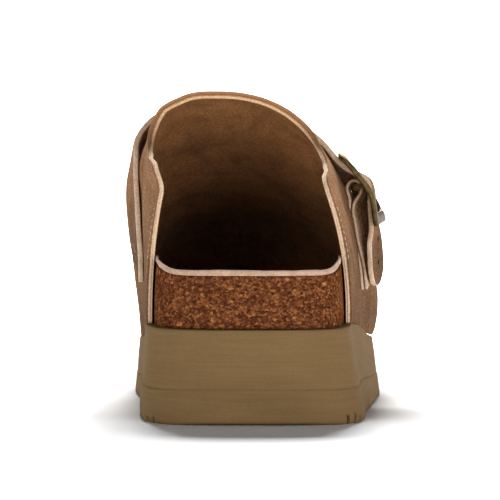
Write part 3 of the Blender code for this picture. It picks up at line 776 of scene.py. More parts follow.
def strap_curves():
    """The strap's lift and its lean, as functions of the place along it."""
    medial = [strap_line.at_height(MEDIAL, z) for z in column(STRAP_MEDIAL_LIFTS, "z")]
    places = np.concatenate([medial, [0.0], BUCKLE_TOP + column(STRAP_LIFTS, "place")])
    lifts = [column(STRAP_MEDIAL_LIFTS, "lift"), [STRAP_LIFT_TOP], column(STRAP_LIFTS, "lift")]
    leans = [column(STRAP_MEDIAL_LIFTS, "lean"), [0.0], column(STRAP_LIFTS, "lean")]
    return smooth_curve(places, np.concatenate(lifts)), smooth_curve(places, np.concatenate(leans))


strap_lift, strap_lean = strap_curves()


def path_normals(path):
    """Normals of a path in (s, lift), on its left."""
    along = unit(np.gradient(path, axis=0))
    return np.stack([-along[:, 1], along[:, 0]], 1)


BAND_CROWDING = 1.5
BAND_RIM_STEPS = 9
BAND_CORNER = 0.45


def build_band(
    name, path, widths, leans, thickness, node, materials, fuzz=0.1, wave=0.0, across_count=26, curls=0.0
):
    """Leather strip whose middle follows path, in (s, lift), with rounded cut edges."""
    stations = len(path)
    half = thickness / 2
    corner = min(BAND_CORNER, half * 0.7)
    flat = np.linspace(-1, 1, across_count)
    flat = np.sign(flat) * (1 - (1 - np.abs(flat)) ** BAND_CROWDING)
    turns = np.linspace(0, np.pi, BAND_RIM_STEPS)[1:-1]
    face_ones, rim_ones = np.ones(across_count), np.ones(len(turns))
    ring_u = np.concatenate([flat, rim_ones, flat[::-1], -rim_ones])
    ring_v = np.concatenate([face_ones, np.cos(turns), -face_ones, -np.cos(turns)])
    ring_w = np.concatenate([0 * face_ones, np.sin(turns), 0 * face_ones, -np.sin(turns)])
    size = len(ring_u)
    s, lift, width, lean, curl = [
        np.repeat(np.broadcast_to(v, stations), size) for v in (path[:, 0], path[:, 1], widths, leans, curls)
    ]
    u, v, w = [np.tile(ring, stations) for ring in (ring_u, ring_v, ring_w)]
    normal = np.repeat(path_normals(path), size, axis=0)
    across = u * (width / 2 - corner * 0.6) + w * corner * 0.9
    rough_at = np.stack([s, across, v * 3], 1)
    face = 1 - 0.22 * np.maximum(0, np.abs(u) - 0.9) / 0.1 * (1 - np.abs(w))
    off = v * half * face + 0.05 * noise(rough_at, 5, 41) + wave * noise(rough_at, 26, 43)
    across = across + np.abs(w) * fuzz * noise(rough_at, 1.1, 47)
    across = across + 0.25 * noise(rough_at * (1, 0, 0), 14, 53) * u
    lift = lift + lean * across
    lift = lift + curl * np.maximum(across, 0)
    points = strap_line.points(s + normal[:, 0] * off, lift + normal[:, 1] * off, across)
    faces = list(grid_quads(stations, size, wrap=True))
    on_rim = ring_w != 0
    ring_which = np.where(on_rim | np.roll(on_rim, -1), CUT, np.where(ring_v < 0, INNER, OUTER))
    which = list(np.tile(ring_which, stations - 1))
    for start in (0, (stations - 1) * size):
        loop = start + np.arange(size)
        low_at = across_count + len(turns)
        top = loop[:across_count]
        low = loop[low_at : low_at + across_count][::-1]
        ends = list(zip(top, top[1:], low[1:], low))
        ends += [loop[across_count - 1 : low_at + 1], np.append(loop[low_at + across_count - 1 :], loop[0])]
        faces += ends
        which += [CUT] * len(ends)
    return make_piece(name, points, faces, node, materials, which)


def even_path(path, step, softening=0):
    """The path with points a fixed distance apart, softened so many times."""
    path = np.asarray(path, float)
    run = run_along(path)
    wanted = np.linspace(0, run[-1], int(run[-1] / step) + 1)
    path = np.stack([np.interp(wanted, run, c) for c in path.T], 1)
    for _ in range(softening):
        path[1:-1] = path[1:-1] / 2 + (path[:-2] + path[2:]) / 4
    return path


HOLE_SIDES = 24
HOLE_RADIUS = 1.2
HOLE_START = -3.0
HOLE_PITCH = 8.5
HOLE_DEPTH = 3.2
PRONG_SLOT_START = 8.2
PRONG_SLOT_END = 1.5
PRONG_SLOT_RADIUS = 1.3
PRONG_SLOT_LOW = 3.2
SLOT_TOP = 14.0
STRAP_SAMPLES = 420
STRAP_STEP = 0.7
TAB_SAMPLES = 40
LOOP_SAMPLES = 41
TAB_STEP = 0.45
TAB_SOFTENING = 6


def hole_tool(name, places):
    """Round-ended bars through the strap: (s first, s last, radius, low lift, high lift) each."""
    work = bmesh.new()
    turns = circle(HOLE_SIDES)
    for first, last, radius, low, high in places:
        rings = []
        for lift in (low, high):
            s = np.where(np.cos(turns) > 0, last, first) + radius * np.cos(turns)
            ring = place(strap_line.points(s, lift, radius * np.sin(turns)))
            rings.append([work.verts.new(p) for p in ring])
        for k in range(HOLE_SIDES):
            j = (k + 1) % HOLE_SIDES
            work.faces.new((rings[0][k], rings[0][j], rings[1][j], rings[1][k]))
        work.faces.new(rings[0][::-1])
        work.faces.new(rings[1])
    return tool_object(name, work)


def build_strap(materials):
    run = np.linspace(STRAP_START, STRAP_END, STRAP_SAMPLES)
    path = even_path(np.stack([run, strap_lift(run)], 1), STRAP_STEP)
    near = np.clip((path[:, 0] - STRAP_END + STRAP_TIP_LENGTH) / STRAP_TIP_LENGTH, 0, 1)
    widths = STRAP_WIDTH * np.maximum(np.sqrt(1 - near**2), STRAP_TIP_SHARE)
    leans = strap_lean(path[:, 0])
    sizes = {"fuzz": 0.16, "wave": 0.12}
    strap = build_band(
        "strap_leather", path, widths, leans, STRAP_THICKNESS, "instep_strap", materials, **sizes
    )
    first, last = BUCKLE_TOP + PRONG_SLOT_START, BAR_AT + PRONG_SLOT_END
    holes = [(first, last, PRONG_SLOT_RADIUS, PRONG_SLOT_LOW, SLOT_TOP)]
    for k in (1, 2):
        s = BUCKLE_LOW + HOLE_PITCH * k + HOLE_START
        middle = float(strap_lift(s))
        holes.append((s, s, HOLE_RADIUS, middle - HOLE_DEPTH, middle + HOLE_DEPTH))
    cut(strap, hole_tool("strap_holes", holes))


def tab_path():
    end = strap_line.at_height(LATERAL, TAB_END_HEIGHT)
    low = GAP + TAB_THICKNESS / 2
    high = low + TAB_THICKNESS + GAP
    path = [(s, low) for s in np.linspace(end, BAR_AT + LOOP_START, TAB_SAMPLES)]
    for turn in np.radians(np.linspace(*LOOP_TURN, LOOP_SAMPLES)):
        path.append((BAR_AT + LOOP_RADIUS * math.cos(turn), low + LOOP_RADIUS * (1 + math.sin(turn))))
    path += [(s, high) for s in np.linspace(BAR_AT + LOOP_PINCH, end, TAB_SAMPLES)]
    return even_path(path, TAB_STEP, TAB_SOFTENING)


TAB_LEAN = 0.15
TAB_CURL = 0.26
TAB_SLOT_REACH = (-4.5, 4.0)
TAB_SLOT_LIFT = 0.15


def build_tab(materials):
    path = tab_path()
    below = path[:, 0] - BAR_AT
    leans = TAB_LEAN * smooth_step(below, 2, 9) * (1 - 0.8 * smooth_step(below, 16, 30))
    curls = TAB_CURL * smooth_step(below, -3.5, 1.5) * (1 - smooth_step(below, 12, 26))
    sizes = {"across_count": 20, "curls": curls}
    tab = build_band(
        "tab_leather", path, TAB_WIDTH, leans, TAB_THICKNESS, "buckle_tab", materials, **sizes
    )
    first, last = [BAR_AT + reach for reach in TAB_SLOT_REACH]
    slot = (first, last, SLOT_WIDTH / 2, GAP + TAB_THICKNESS + TAB_SLOT_LIFT, SLOT_TOP)
    cut(tab, hole_tool("tab_slot", [slot]))


def rounded_rectangle(length, width, corner, corner_steps=10, edge_steps=14):
    """Closed outline in (s, across) about the buckle's middle."""
    arcs = []
    for turn, s_sign, across_sign in ((0, 1, 1), (90, -1, 1), (180, -1, -1), (270, 1, -1)):
        centre = np.array([s_sign * (length / 2 - corner), across_sign * (width / 2 - corner)])
        angles = np.radians(turn + np.linspace(0, 90, corner_steps + 1))
        arcs.append(centre + corner * np.stack([np.cos(angles), np.sin(angles)], 1))
    points = []
    for arc, following in zip(arcs, arcs[1:] + arcs[:1]):
        points += list(arc)
        for share in np.linspace(0, 1, edge_steps + 1)[1:-1]:
            points.append(arc[-1] + (following[0] - arc[-1]) * share)
    return np.array(points)


frame_lift_at = table_curve(FRAME_LIFTS, "lift", along="place")


def frame_lift(s):
    return frame_lift_at(s - BUCKLE_TOP)


def tube(name, path, radii, node, material, sides=18):
    """Round brass wire along a path of points, closed at both ends."""
    along = unit(np.gradient(path, axis=0))
    side = unit(np.cross(along, (0.3, 0.2, 0.93)))
    up = np.cross(side, along)
    points = []
    for p, a, b, radius in zip(path, side, up, radii):
        for turn in circle(sides):
            points.append(p + (a * math.cos(turn) + b * math.sin(turn)) * radius)
    faces = tube_faces(len(path), sides)
    return make_piece(name, np.array(points), faces, node, [material])


RAIL_STEPS = 20
RAIL_POWER = 2 / 2.9
BAR_STEPS = 41
BAR_OVERLAP = 1.6
BAR_ENDS = (0.86, 1.0)


def build_frame(material):
    outside = rounded_rectangle(BUCKLE_LENGTH, BUCKLE_WIDTH, BUCKLE_CORNER)
    window = rounded_rectangle(
        BUCKLE_LENGTH - 2 * BUCKLE_RAIL, BUCKLE_WIDTH - 2 * BUCKLE_RAIL, BUCKLE_WINDOW_CORNER
    )
    turns = circle(RAIL_STEPS)
    side, high = [np.sign(c) * np.abs(c) ** RAIL_POWER for c in (np.cos(turns), np.sin(turns))]
    share = (side + 1) / 2
    plan = window[:, None] + (outside - window)[:, None] * share[None, :, None]
    s = BUCKLE_MIDDLE + plan[..., 0]
    lift = frame_lift(s) + high * BUCKLE_THICKNESS / 2
    points = strap_line.points(s, lift, plan[..., 1]).reshape(-1, 3)
    size = RAIL_STEPS
    faces = list(grid_quads(len(outside), size, wrap=True))
    last = (len(outside) - 1) * size
    faces += [(last + i, i, (i + 1) % size, last + (i + 1) % size) for i in range(size)]
    frame_piece = make_piece("buckle_plate", points, faces, "buckle_frame", [material])
    bend = np.linspace(-1, 1, BAR_STEPS)
    lift = BAR_LIFT + (float(frame_lift(BAR_AT)) - BAR_LIFT) * smooth_step(np.abs(bend), *BAR_ENDS)
    path = strap_line.points(BAR_AT, lift, bend * (BUCKLE_WIDTH / 2 - BUCKLE_RAIL + BAR_OVERLAP))
    bar = tube("centre_bar", path, np.full(BAR_STEPS, BAR_RADIUS), "buckle_frame", material)
    cut(frame_piece, bar, "UNION")


PRONG_HOOK_TURN = (-150.0, 90.0)
PRONG_PLAY = 0.2
PRONG_REST_GAP = 0.1
PRONG_ARCH = 0.2
PRONG_TAPER = 0.35
PRONG_STEP = 0.35
PRONG_SOFTENING = 10


def build_prong(material):
    hook = BAR_RADIUS + PRONG_PLAY + PRONG_RADIUS
    path = []
    for turn in np.radians(np.linspace(*PRONG_HOOK_TURN, 25)):
        path.append((BAR_AT + hook * math.cos(turn), BAR_LIFT + hook * math.sin(turn)))
    landing = BUCKLE_TOP + BUCKLE_RAIL
    rest = float(frame_lift(landing)) + BUCKLE_THICKNESS / 2 + PRONG_REST_GAP + PRONG_RADIUS
    path.append(((path[-1][0] + landing) / 2, (path[-1][1] + rest) / 2 + PRONG_ARCH))
    path += [(s, rest) for s in np.linspace(landing + PRONG_LANDING, BUCKLE_TOP - PRONG_REACH, 8)]
    path = even_path(path, PRONG_STEP, PRONG_SOFTENING)
    along = np.linspace(0, 1, len(path))
    radii = PRONG_RADIUS * (1 - PRONG_TAPER * smooth_step(along, 0.7, 0.97))
    radii = radii * np.sqrt(1 - smooth_step(along, 0.96, 1.06))
    wire = strap_line.points(path[:, 0], path[:, 1], 0.0)
    tube("buckle_pin", wire, radii, "buckle_prong", material)


def sew_rows(name, rows, lift, node, material, **sizes):
    """Rows of thread on the face of a strip: places along and across it, and the face's lift there."""
    for k, (s, across) in enumerate(rows):
        path = strap_line.points(s, lift(s), across)
        normals = unit(strap_line.points(s, lift(s) + 0.5, across) - path)
        stitches(f"{name}_{k + 1}", path, normals, node, "strap_suede", material, **sizes)


THREAD_SINK = 0.06
STRAP_SEAM_INSET = 2.8
STRAP_SEAMS = (2.6, 11.0)
TAB_SEAM_INSET = 2.2
TAB_SEAM_START = 2.0
TAB_SEAM_CORNER = 1.5
ACROSS_SAMPLES = 40
ALONG_SAMPLES = 50


def build_strap_stitches(material):
    """Rows of thread that hold the strap's sewn end."""
    inset = STRAP_WIDTH / 2 - STRAP_SEAM_INSET
    across = np.linspace(-inset, inset, ACROSS_SAMPLES)
    rows = [(STRAP_START + seam, across) for seam in STRAP_SEAMS]
    face = STRAP_THICKNESS / 2
    sew_rows(
        "strap_stitches", rows, lambda s: float(strap_lift(s)) + face - THREAD_SINK, "instep_strap", material
    )


def build_tab_stitches(material):
    """Thread along both edges and the end of the tab's sewn part."""
    end = strap_line.at_height(LATERAL, TAB_END_HEIGHT) - TAB_SEAM_INSET
    face = GAP + TAB_THICKNESS * 2 + GAP
    inset = TAB_WIDTH / 2 - TAB_SEAM_INSET
    along = np.linspace(BAR_AT + LOOP_PINCH + TAB_SEAM_START, end, ALONG_SAMPLES)
    across = np.linspace(-inset + TAB_SEAM_CORNER, inset - TAB_SEAM_CORNER, ACROSS_SAMPLES)
    rows = [(along, -inset), (along, inset), (end, across)]
    sizes = {"length": 1.9, "pitch": 2.7, "radius": 0.26}
    sew_rows("tab_stitches", rows, lambda s: face - THREAD_SINK, "buckle_tab", material, **sizes)


# Sole, footbed and lining


STATIONS = 150


def ring_places():
    """(side, d) round the shoe: heel tip, lateral side, toe tip, medial side."""
    turn = np.linspace(0, math.pi, STATIONS + 1)
    ds = EDGE_HEEL + (EDGE_TOE - EDGE_HEEL) * (1 - np.cos(turn)) / 2
    sides = np.concatenate([np.full(STATIONS + 1, LATERAL), np.full(STATIONS - 1, MEDIAL)])
    return sides, np.concatenate([ds, ds[-2:0:-1]])


def plan_normals(ring):
    """Outward directions of a ring, seen from above."""
    plan = np.asarray(ring)[:, :2]
    along = np.roll(plan, -1, 0) - np.roll(plan, 1, 0)
    return unit(np.stack([along[:, 1], -along[:, 0]], 1))


def sole_edge():
    """The ring's places, the sole's upper edge there and its outward directions."""
    sides, ds = ring_places()
    edge = np.stack([np.where(sides > 0, edge_x(LATERAL, ds), edge_x(MEDIAL, ds)), ds], 1)
    return sides, ds, edge, plan_normals(edge)


def cap_faces(size, start, flip):
    """Rungs across a ring, from its first tip to its second."""
    half = size // 2
    rungs = [(0, 1, size - 1), (half - 1, half, half + 1)]
    rungs += [(k, k + 1, size - k - 1, size - k) for k in range(1, half - 1)]
    return [tuple(start + i for i in (rung[::-1] if flip else rung)) for rung in rungs]


def ring_solid(name, rings, node, materials, which_ring=None):
    """Solid through rings from below to above, closed by caps; which_ring gives each step's material."""
    size = len(rings[0])
    which_ring = which_ring or [0] * (len(rings) - 1)
    faces = list(grid_quads(len(rings), size, wrap=True))
    which = np.repeat(which_ring, size).tolist()
    for start, flip, material in ((0, True, which_ring[0]), ((len(rings) - 1) * size, False, which_ring[-1])):
        cap = cap_faces(size, start, flip)
        faces += cap
        which += [material] * len(cap)
    return make_piece(name, np.concatenate(rings), faces, node, materials, which)


SOLE_SIDE = (
    ("height_share", "flare_share", "inset"),
    (0.0, 0.9, 1.6),
    (0.004, 0.95, 0.7),
    (0.014, 0.97, 0.25),
    (0.03, 0.985, 0.05),
    (0.06, 0.99, 0.0),
    (0.12, 0.93, 0.0),
    (0.2, 0.84, 0.0),
    (0.28, 0.755, 0.0),
    (0.345, 0.685, 0.0),
    (0.362, 0.668, 0.05),
    (0.368, 0.662, 0.28),
    (0.374, 0.656, 0.42),
    (0.382, 0.65, 0.36),
    (0.395, 0.64, 0.26),
    (0.45, 0.585, 0.2),
    (0.55, 0.475, 0.12),
    (0.65, 0.365, 0.06),
    (0.75, 0.25, 0.0),
    (0.85, 0.14, 0.0),
    (0.93, 0.05, 0.0),
    (0.965, 0.02, 0.0),
    (0.985, 0.01, 0.08),
    (0.996, 0.0, 0.25),
    (1.0, 0.0, 0.6),
)


def build_sole(materials):
    sides, ds, edge, normals = sole_edge()
    ends = np.concatenate([[EDGE_HEEL], column(OUTLINE, "d"), [EDGE_TOE]])
    flare = np.zeros(len(ds))
    for side, name in SIDES:
        amounts = np.concatenate([[BACK_FLARE], column(OUTLINE, f"flare_{name}"), [TOE_FLARE]])
        picked = sides == side
        flare[picked] = smooth_curve(ends, amounts)(ds[picked])
    rings = []
    for height_share, flare_share, inset in SOLE_SIDE[1:]:
        plan = edge + normals * (flare * flare_share - inset)[:, None]
        low = under_z(plan[:, 1])
        height = low + (sole_top_z(plan[:, 1]) - low) * height_share
        ring = np.column_stack([plan, height])
        wobble = 0.1 * noise(ring, 30, 61) + 0.015 * noise(ring * (0.12, 0.12, 1), 0.9, 67)
        ring[:, :2] += normals * (wobble * smooth_step(height_share, 0.0, 0.06))[:, None]
        rings.append(ring)
    sole = ring_solid("sole_body", rings, "sole", materials)
    cut(sole, groove_tool())


GROOVES = (
    ("first", "count", "pitch", "width", "height"),
    (18.0, 5, 12.0, 2.2, 2.2),
    (24.0, 4, 12.0, 1.5, 1.5),
    (118.0, 7, 12.0, 2.2, 2.2),
    (124.0, 6, 12.0, 1.5, 1.5),
)
HEEL_NOTCHES = (
    ("side", "facing", "width", "height"),
    (LATERAL, 51.0, 1.6, 3.2),
    (LATERAL, 63.0, 1.3, 3.6),
    (MEDIAL, 58.0, 1.2, 2.4),
)
NOTCH_LENGTH = 9.0
NOTCH_REACH = 60.0
GROOVE_LENGTH = 140.0
BELOW_FLOOR = 1.0


def add_bar(work, x, d, top, length, width, turn=0.0):
    """A bar of the tread's tool from below the floor up to top, turned about z."""
    middle = Vector(place((x, d, (top - BELOW_FLOOR) / 2)))
    size = Vector((length, width, top + BELOW_FLOOR)) * MM
    spin = Matrix.Rotation(turn, 3, "Z").to_quaternion()
    bmesh.ops.create_cube(work, size=1.0, matrix=Matrix.LocRotScale(middle, spin, size))


def groove_tool():
    """Straight bars across the tread and short ones round the heel, at angles from straight back."""
    work = bmesh.new()
    for first, count, pitch, width, height in GROOVES[1:]:
        for k in range(count):
            d = first + k * pitch
            add_bar(work, CENTRE_X, d, float(under_z(d)) + height, GROOVE_LENGTH, width)
    sides, ds, edge, normals = sole_edge()
    facing = np.degrees(np.arctan2(np.abs(normals[:, 0]), -normals[:, 1]))
    for side, wanted, width, height in HEEL_NOTCHES[1:]:
        picked = np.where((sides == side) & (ds < NOTCH_REACH))[0]
        k = picked[np.argmin(np.abs(facing[picked] - wanted))]
        x, d = edge[k] + normals[k] * BACK_FLARE
        turn = math.atan2(normals[k, 1], normals[k, 0])
        add_bar(work, x, d, height, NOTCH_LENGTH, width, turn)
    return tool_object("tread_grooves", work)


def bed_ring(height):
    """Ring just inside the upper's wall at the given height, round the shoe."""
    sides, ds = ring_places()
    inside = np.clip(ds, EDGE_HEEL + TINY, EDGE_TOE - TINY)
    limit = feather_z(inside) + BED_HEIGHT_SHARE * rise(inside)
    level = np.minimum(height(ds), limit)
    q = np.where(sides > 0, q_at(LATERAL, inside, level), q_at(MEDIAL, inside, level))
    ring = np.column_stack([upper_points(inside, q)[:, 0], ds, height(ds)])
    inset = WALL + BED_GAP + BED_TOE_INSET * smooth_step(ds, BED_TOE_INSET_START, EDGE_TOE)
    ring[:, :2] -= plan_normals(ring) * inset[:, None]
    return ring


def bed_surface(lift, shares):
    """Rings of the footbed's hollow from the rim inwards, raised by lift."""
    rim = bed_ring(lambda d: rim_z(d) + lift)
    spine_d = np.clip(rim[:, 1], SPINE_HEEL, SPINE_TOE)
    spine = np.column_stack([ridge_x(spine_d) * SPINE_SHIFT, spine_d])
    rings = []
    for share in shares:
        plan = spine + (rim[:, :2] - spine) * share
        floor = floor_z(plan[:, 1]) + lift
        rings.append(np.column_stack([plan, floor + (rim[:, 2] - floor) * share**CUP_POWER]))
    return rings


CORK_SINK = 0.12
CORK_INSET = 0.15
CORK_ROUND_START = 0.94
CORK_ROUND_LENGTH = 0.06
CORK_ROUND = 0.4
LINING_LOW = GAP - 0.1
LINING_TOP = GAP + LINING_THICKNESS
LINING_BELOW = (0.1, 0.3, 0.6, 0.8, 0.9, 0.96, 0.985)
LINING_ABOVE = (0.985, 0.97, 0.95, 0.92, 0.88, 0.8, 0.7, 0.6, 0.45, 0.3, 0.1)
LINING_RIM = (
    ("share", "out"),
    (0.0, -0.25),
    (0.12, 0.12),
    (0.35, 0.34),
    (0.6, 0.38),
    (0.82, 0.2),
    (0.95, -0.15),
    (1.0, -0.5),
)
LINING_RIM_INSET = 0.2


def build_footbed(materials):
    rings = []
    for share in np.concatenate([np.linspace(0, 0.9, 12), [0.95, 0.98]]):
        ring = bed_ring(lambda d: feather_z(d) + (rim_z(d) - feather_z(d)) * share)
        rounding = CORK_ROUND * max(0, share - CORK_ROUND_START) / CORK_ROUND_LENGTH
        shift = 0.12 * noise(ring, 9, 71) + 0.06 * noise(ring, 2.2, 73) - rounding
        ring[:, :2] += plan_normals(ring) * (shift - CORK_INSET)[:, None]
        rings.append(ring)
    rings += bed_surface(-CORK_SINK, (0.985, 0.96, 0.92, 0.8, 0.6, 0.3, 0.1))
    ring_solid("cork_footbed", rings, "footbed", materials)


def build_lining(materials):
    below = bed_surface(LINING_LOW, LINING_BELOW)
    above = bed_surface(LINING_TOP, LINING_ABOVE)
    rim_low, rim_high = [bed_surface(lift, (1.0,))[0] for lift in (LINING_LOW, LINING_TOP)]
    rim = []
    for share, out in LINING_RIM[1:]:
        ring = rim_low + (rim_high - rim_low) * share
        fuzz = 0.12 * noise(ring, 1.3, 79) + 0.2 * noise(ring, 6, 83) * (out > 0)
        ring[:, :2] += plan_normals(ring) * (out - LINING_RIM_INSET + fuzz)[:, None]
        ring[:, 2] += 0.16 * noise(ring * (1, 1, 0), 7, 89) + 0.1 * noise(ring * (1, 1, 0), 2, 97)
        rim.append(ring)
    for ring in above:
        ring[:, 2] += 0.12 * noise(ring, 9, 101)
    which = [1] * (len(below) - 1) + [0] * len(rim) + [1] * len(above)
    ring_solid("lining_sheet", below + rim + above, "footbed_lining", materials, which)


# Materials


def rgba(colour):
    """Scene colour of an 8-bit display colour or of a grey from 0 up; a socket stays as it is."""
    if isinstance(colour, tuple):
        share = np.array(colour) / 255
        value = np.where(share <= 0.04045, share / 12.92, ((share + 0.055) / 1.055) ** 2.4)
        return (*value.tolist(), 1.0)
    if isinstance(colour, float):
        return (colour, colour, colour, 1.0)
    return colour


class Shader:
    """Builds one node material around a Principled shader. Sizes are in millimetres."""

    def __init__(self, name):
        self.material = bpy.data.materials.new(name)
        self.material.use_nodes = True
        self.tree = self.material.node_tree
        self.main = self.tree.nodes["Principled BSDF"]
        self.where = self.tree.nodes.new("ShaderNodeTexCoord").outputs["Object"]

    def add(self, kind, settings=None, **inputs):
        node = self.tree.nodes.new(kind)
        for key, value in (settings or {}).items():
            setattr(node, key, value)
        for key, value in inputs.items():
            self.set(node, key.replace("_", " "), value)
        return node

    def set(self, node, key, value):
        if isinstance(value, bpy.types.NodeSocket):
            self.tree.links.new(value, node.inputs[key])
        else:
            node.inputs[key].default_value = value

    def stretched(self, x, y, z, source=None):
        node = self.add("ShaderNodeMapping", Vector=source or self.where, Scale=(x, y, z))
        return node.outputs["Vector"]

    def noise(self, size, detail=3.0, rough=0.55, where=None, **more):
        """Noise with lumps of about the given size, from 0 to 1."""
        scale = 1 / (size * MM)
        node = self.add("ShaderNodeTexNoise", Scale=scale, Detail=detail, Roughness=rough, **more)
        self.set(node, "Vector", where or self.where)
        return node.outputs["Fac"]

    def cells(self, size, where, output="Color"):
        node = self.add("ShaderNodeTexVoronoi", Vector=where, Scale=1 / (size * MM))
        return node.outputs[output]

    def ramp(self, value, *stops):
        node = self.add("ShaderNodeValToRGB", Fac=value)
        elements = node.color_ramp.elements
        while len(elements) < len(stops):
            elements.new(0.5)
        for element, (position, colour) in zip(elements, stops):
            element.position = position
            element.color = rgba(colour)
        return node.outputs["Color"]

    def mix(self, share, first, second, blend="MIX"):
        node = self.add("ShaderNodeMix", {"data_type": "RGBA", "blend_type": blend})
        for key, value in ((0, share), (6, rgba(first)), (7, rgba(second))):
            self.set(node, key, value)
        return node.outputs[2]

    def shaded(self, colour, value, *stops):
        """The colour times a grey that follows the value."""
        return self.mix(1.0, colour, self.ramp(value, *stops), "MULTIPLY")

    def math(self, operation, *values, kind="ShaderNodeMath", output=0):
        node = self.add(kind, {"operation": operation})
        for key, value in enumerate(values):
            self.set(node, key, value)
        return node.outputs[output]

    def with_painted_shading(self, colour, axis, start, end, share):
        """The colour, scaled to a share of itself between two places along an axis: painted shade where the
        share is below one, painted light where it is above.
        """
        apart = self.add("ShaderNodeSeparateXYZ", Vector=self.where)
        along = self.add("ShaderNodeMapRange", Value=apart.outputs[axis], From_Min=start, From_Max=end)
        return self.shaded(colour, along.outputs[0], (0.0, 1.0), (1.0, share))

    def bump(self, height, distance, strength, **more):
        node = self.add("ShaderNodeBump", Height=height, Distance=distance * MM, Strength=strength, **more)
        return node.outputs["Normal"]

    def attribute(self, name):
        return self.add("ShaderNodeAttribute", {"attribute_name": name}).outputs["Fac"]

    def finish(self, colour, roughness, **more):
        inputs = {"Base_Color": colour, "Roughness": roughness, **more}
        for key, value in inputs.items():
            self.set(self.main, key.replace("_", " "), value)
        return self.material


def suede(name, dark, middle, pale, nap=1.0, painted_shading_marks=()):
    """Brushed leather: cloudy patches, short nap and fine fibres; each painted shading mark paints shade or
    light on it between two places.
    """
    make = Shader(name)
    clouds = make.noise(14, detail=4, rough=0.62, Distortion=0.6)
    flecks = make.noise(0.85 * nap, detail=5, rough=0.78)
    fibres = make.noise(0.36 * nap, detail=2, rough=0.6, where=make.stretched(1, 0.45, 0.7))
    colour = make.ramp(flecks, (0.36, dark), (0.5, middle), (0.64, pale))
    colour = make.shaded(colour, clouds, (0.32, 0.7), (0.5, 1.0), (0.68, 1.24))
    colour = make.shaded(colour, fibres, (0.34, 0.66), (0.66, 1.26))
    # painted light and shade: each mark scales the colour between two places along an axis
    for painted_mark in painted_shading_marks:
        colour = make.with_painted_shading(colour, *painted_mark)
    normal = make.bump(flecks, 0.34, 0.7, Normal=make.bump(fibres, 0.14, 0.7))
    sheen = {"Sheen_Weight": 0.05, "Sheen_Roughness": 0.5, "Sheen_Tint": (0.9, 0.72, 0.55, 1)}
    return make.finish(colour, 0.97, Normal=normal, Specular_IOR_Level=0.05, **sheen)


def cut_edge(name, outer, inner, throat=None, throat_line=None):
    """Raw edge of the leather: dyed outer layer and pale inner layer, duller along the throat, with painted
    shade on the throat's lower part.
    """
    make = Shader(name)
    fuzz = make.noise(0.7, detail=4, rough=0.72)
    if throat:
        lean = make.math("MULTIPLY_ADD", fuzz, 0.3, -0.15)
        spread = make.math("ADD", make.attribute("across"), lean)
        on_flap = make.mix(make.ramp(spread, (0.14, 0.0), (0.3, 1.0)), outer, inner)
        on_throat = make.mix(make.ramp(spread, (0.6, 0.0), (0.74, 1.0)), throat, throat_line)
        # painted shade: the throat's edge darker below about 109 mm, fullest at 100 mm
        on_throat = make.with_painted_shading(on_throat, "Z", 0.109, 0.1, 0.6)
        colour = make.mix(make.attribute("flap"), on_throat, on_flap)
    else:
        colour = make.mix(make.ramp(make.noise(6), (0.3, 0.0), (0.7, 1.0)), outer, inner)
    colour = make.shaded(colour, fuzz, (0.3, 0.66), (0.7, 1.16))
    sheen = {"Sheen_Weight": 0.08, "Sheen_Roughness": 0.5}
    return make.finish(colour, 0.95, Normal=make.bump(fuzz, 0.25, 0.7), Specular_IOR_Level=0.05, **sheen)


CORK_GRAIN = 1.15
CORK_SPECK = 0.62
CORK_WANDER = (0.0013, 0.0013, 0.0013)
CORK_TONES = (
    (0.0, (38, 17, 10)),
    (0.3, (72, 37, 22)),
    (0.58, (100, 56, 34)),
    (0.8, (140, 82, 46)),
    (0.95, (188, 128, 76)),
)
CORK_FLAKES = ((0.1, (44, 20, 12)), (0.62, (104, 58, 34)), (0.95, (192, 136, 84)))
SOLE_TONES = ((0.25, (118, 94, 62)), (0.5, (124, 99, 66)), (0.78, (131, 105, 70)))
BRASS_TONES = ((0.25, (92, 73, 43)), (0.5, (146, 124, 82)), (0.75, (184, 164, 120)))


def cork():
    """Pressed granules in a dark binder, under a thin finish."""
    make = Shader("cork")
    wander = make.add("ShaderNodeTexNoise", Vector=make.where, Scale=1 / (1.6 * MM), Detail=2.0)
    bent = make.math(
        "MULTIPLY_ADD", wander.outputs["Color"], CORK_WANDER, make.where, kind="ShaderNodeVectorMath"
    )
    bent = make.stretched(0.85, 0.85, 1.1, bent)
    specks = make.cells(CORK_SPECK, bent)
    tones = make.ramp(make.cells(CORK_GRAIN, bent), *CORK_TONES)
    tones = make.mix(0.45, tones, make.ramp(specks, *CORK_FLAKES))
    tones = make.shaded(tones, make.noise(9), (0.3, 0.76), (0.7, 1.14))
    normal = make.bump(make.cells(CORK_GRAIN, bent, "Distance"), 0.3, 0.5)
    normal = make.bump(make.noise(0.5), 0.1, 0.5, Normal=normal)
    rough = make.ramp(specks, (0.0, 0.4), (1.0, 0.62))
    return make.finish(tones, rough, Normal=normal, Specular_IOR_Level=0.0)


def sole_rubber():
    """Matte moulded foam rubber with faint lines round the shoe."""
    make = Shader("sole_rubber")
    lines = make.noise(0.6, rough=0.65, where=make.stretched(0.03, 0.03, 1.0))
    broad = make.noise(4, detail=2, where=make.stretched(0.06, 0.06, 1.0))
    grain = make.noise(0.55, detail=4, rough=0.7)
    colour = make.ramp(lines, *SOLE_TONES)
    colour = make.shaded(colour, broad, (0.3, 0.985), (0.7, 1.015))
    colour = make.shaded(colour, make.noise(26), (0.3, 0.95), (0.7, 1.05))
    colour = make.shaded(colour, grain, (0.3, 0.88), (0.7, 1.1))
    normal = make.bump(grain, 0.08, 0.5, Normal=make.bump(lines, 0.03, 0.4))
    rough = make.ramp(grain, (0.2, 0.66), (0.8, 0.86))
    return make.finish(colour, rough, Normal=normal, Specular_IOR_Level=0.02)


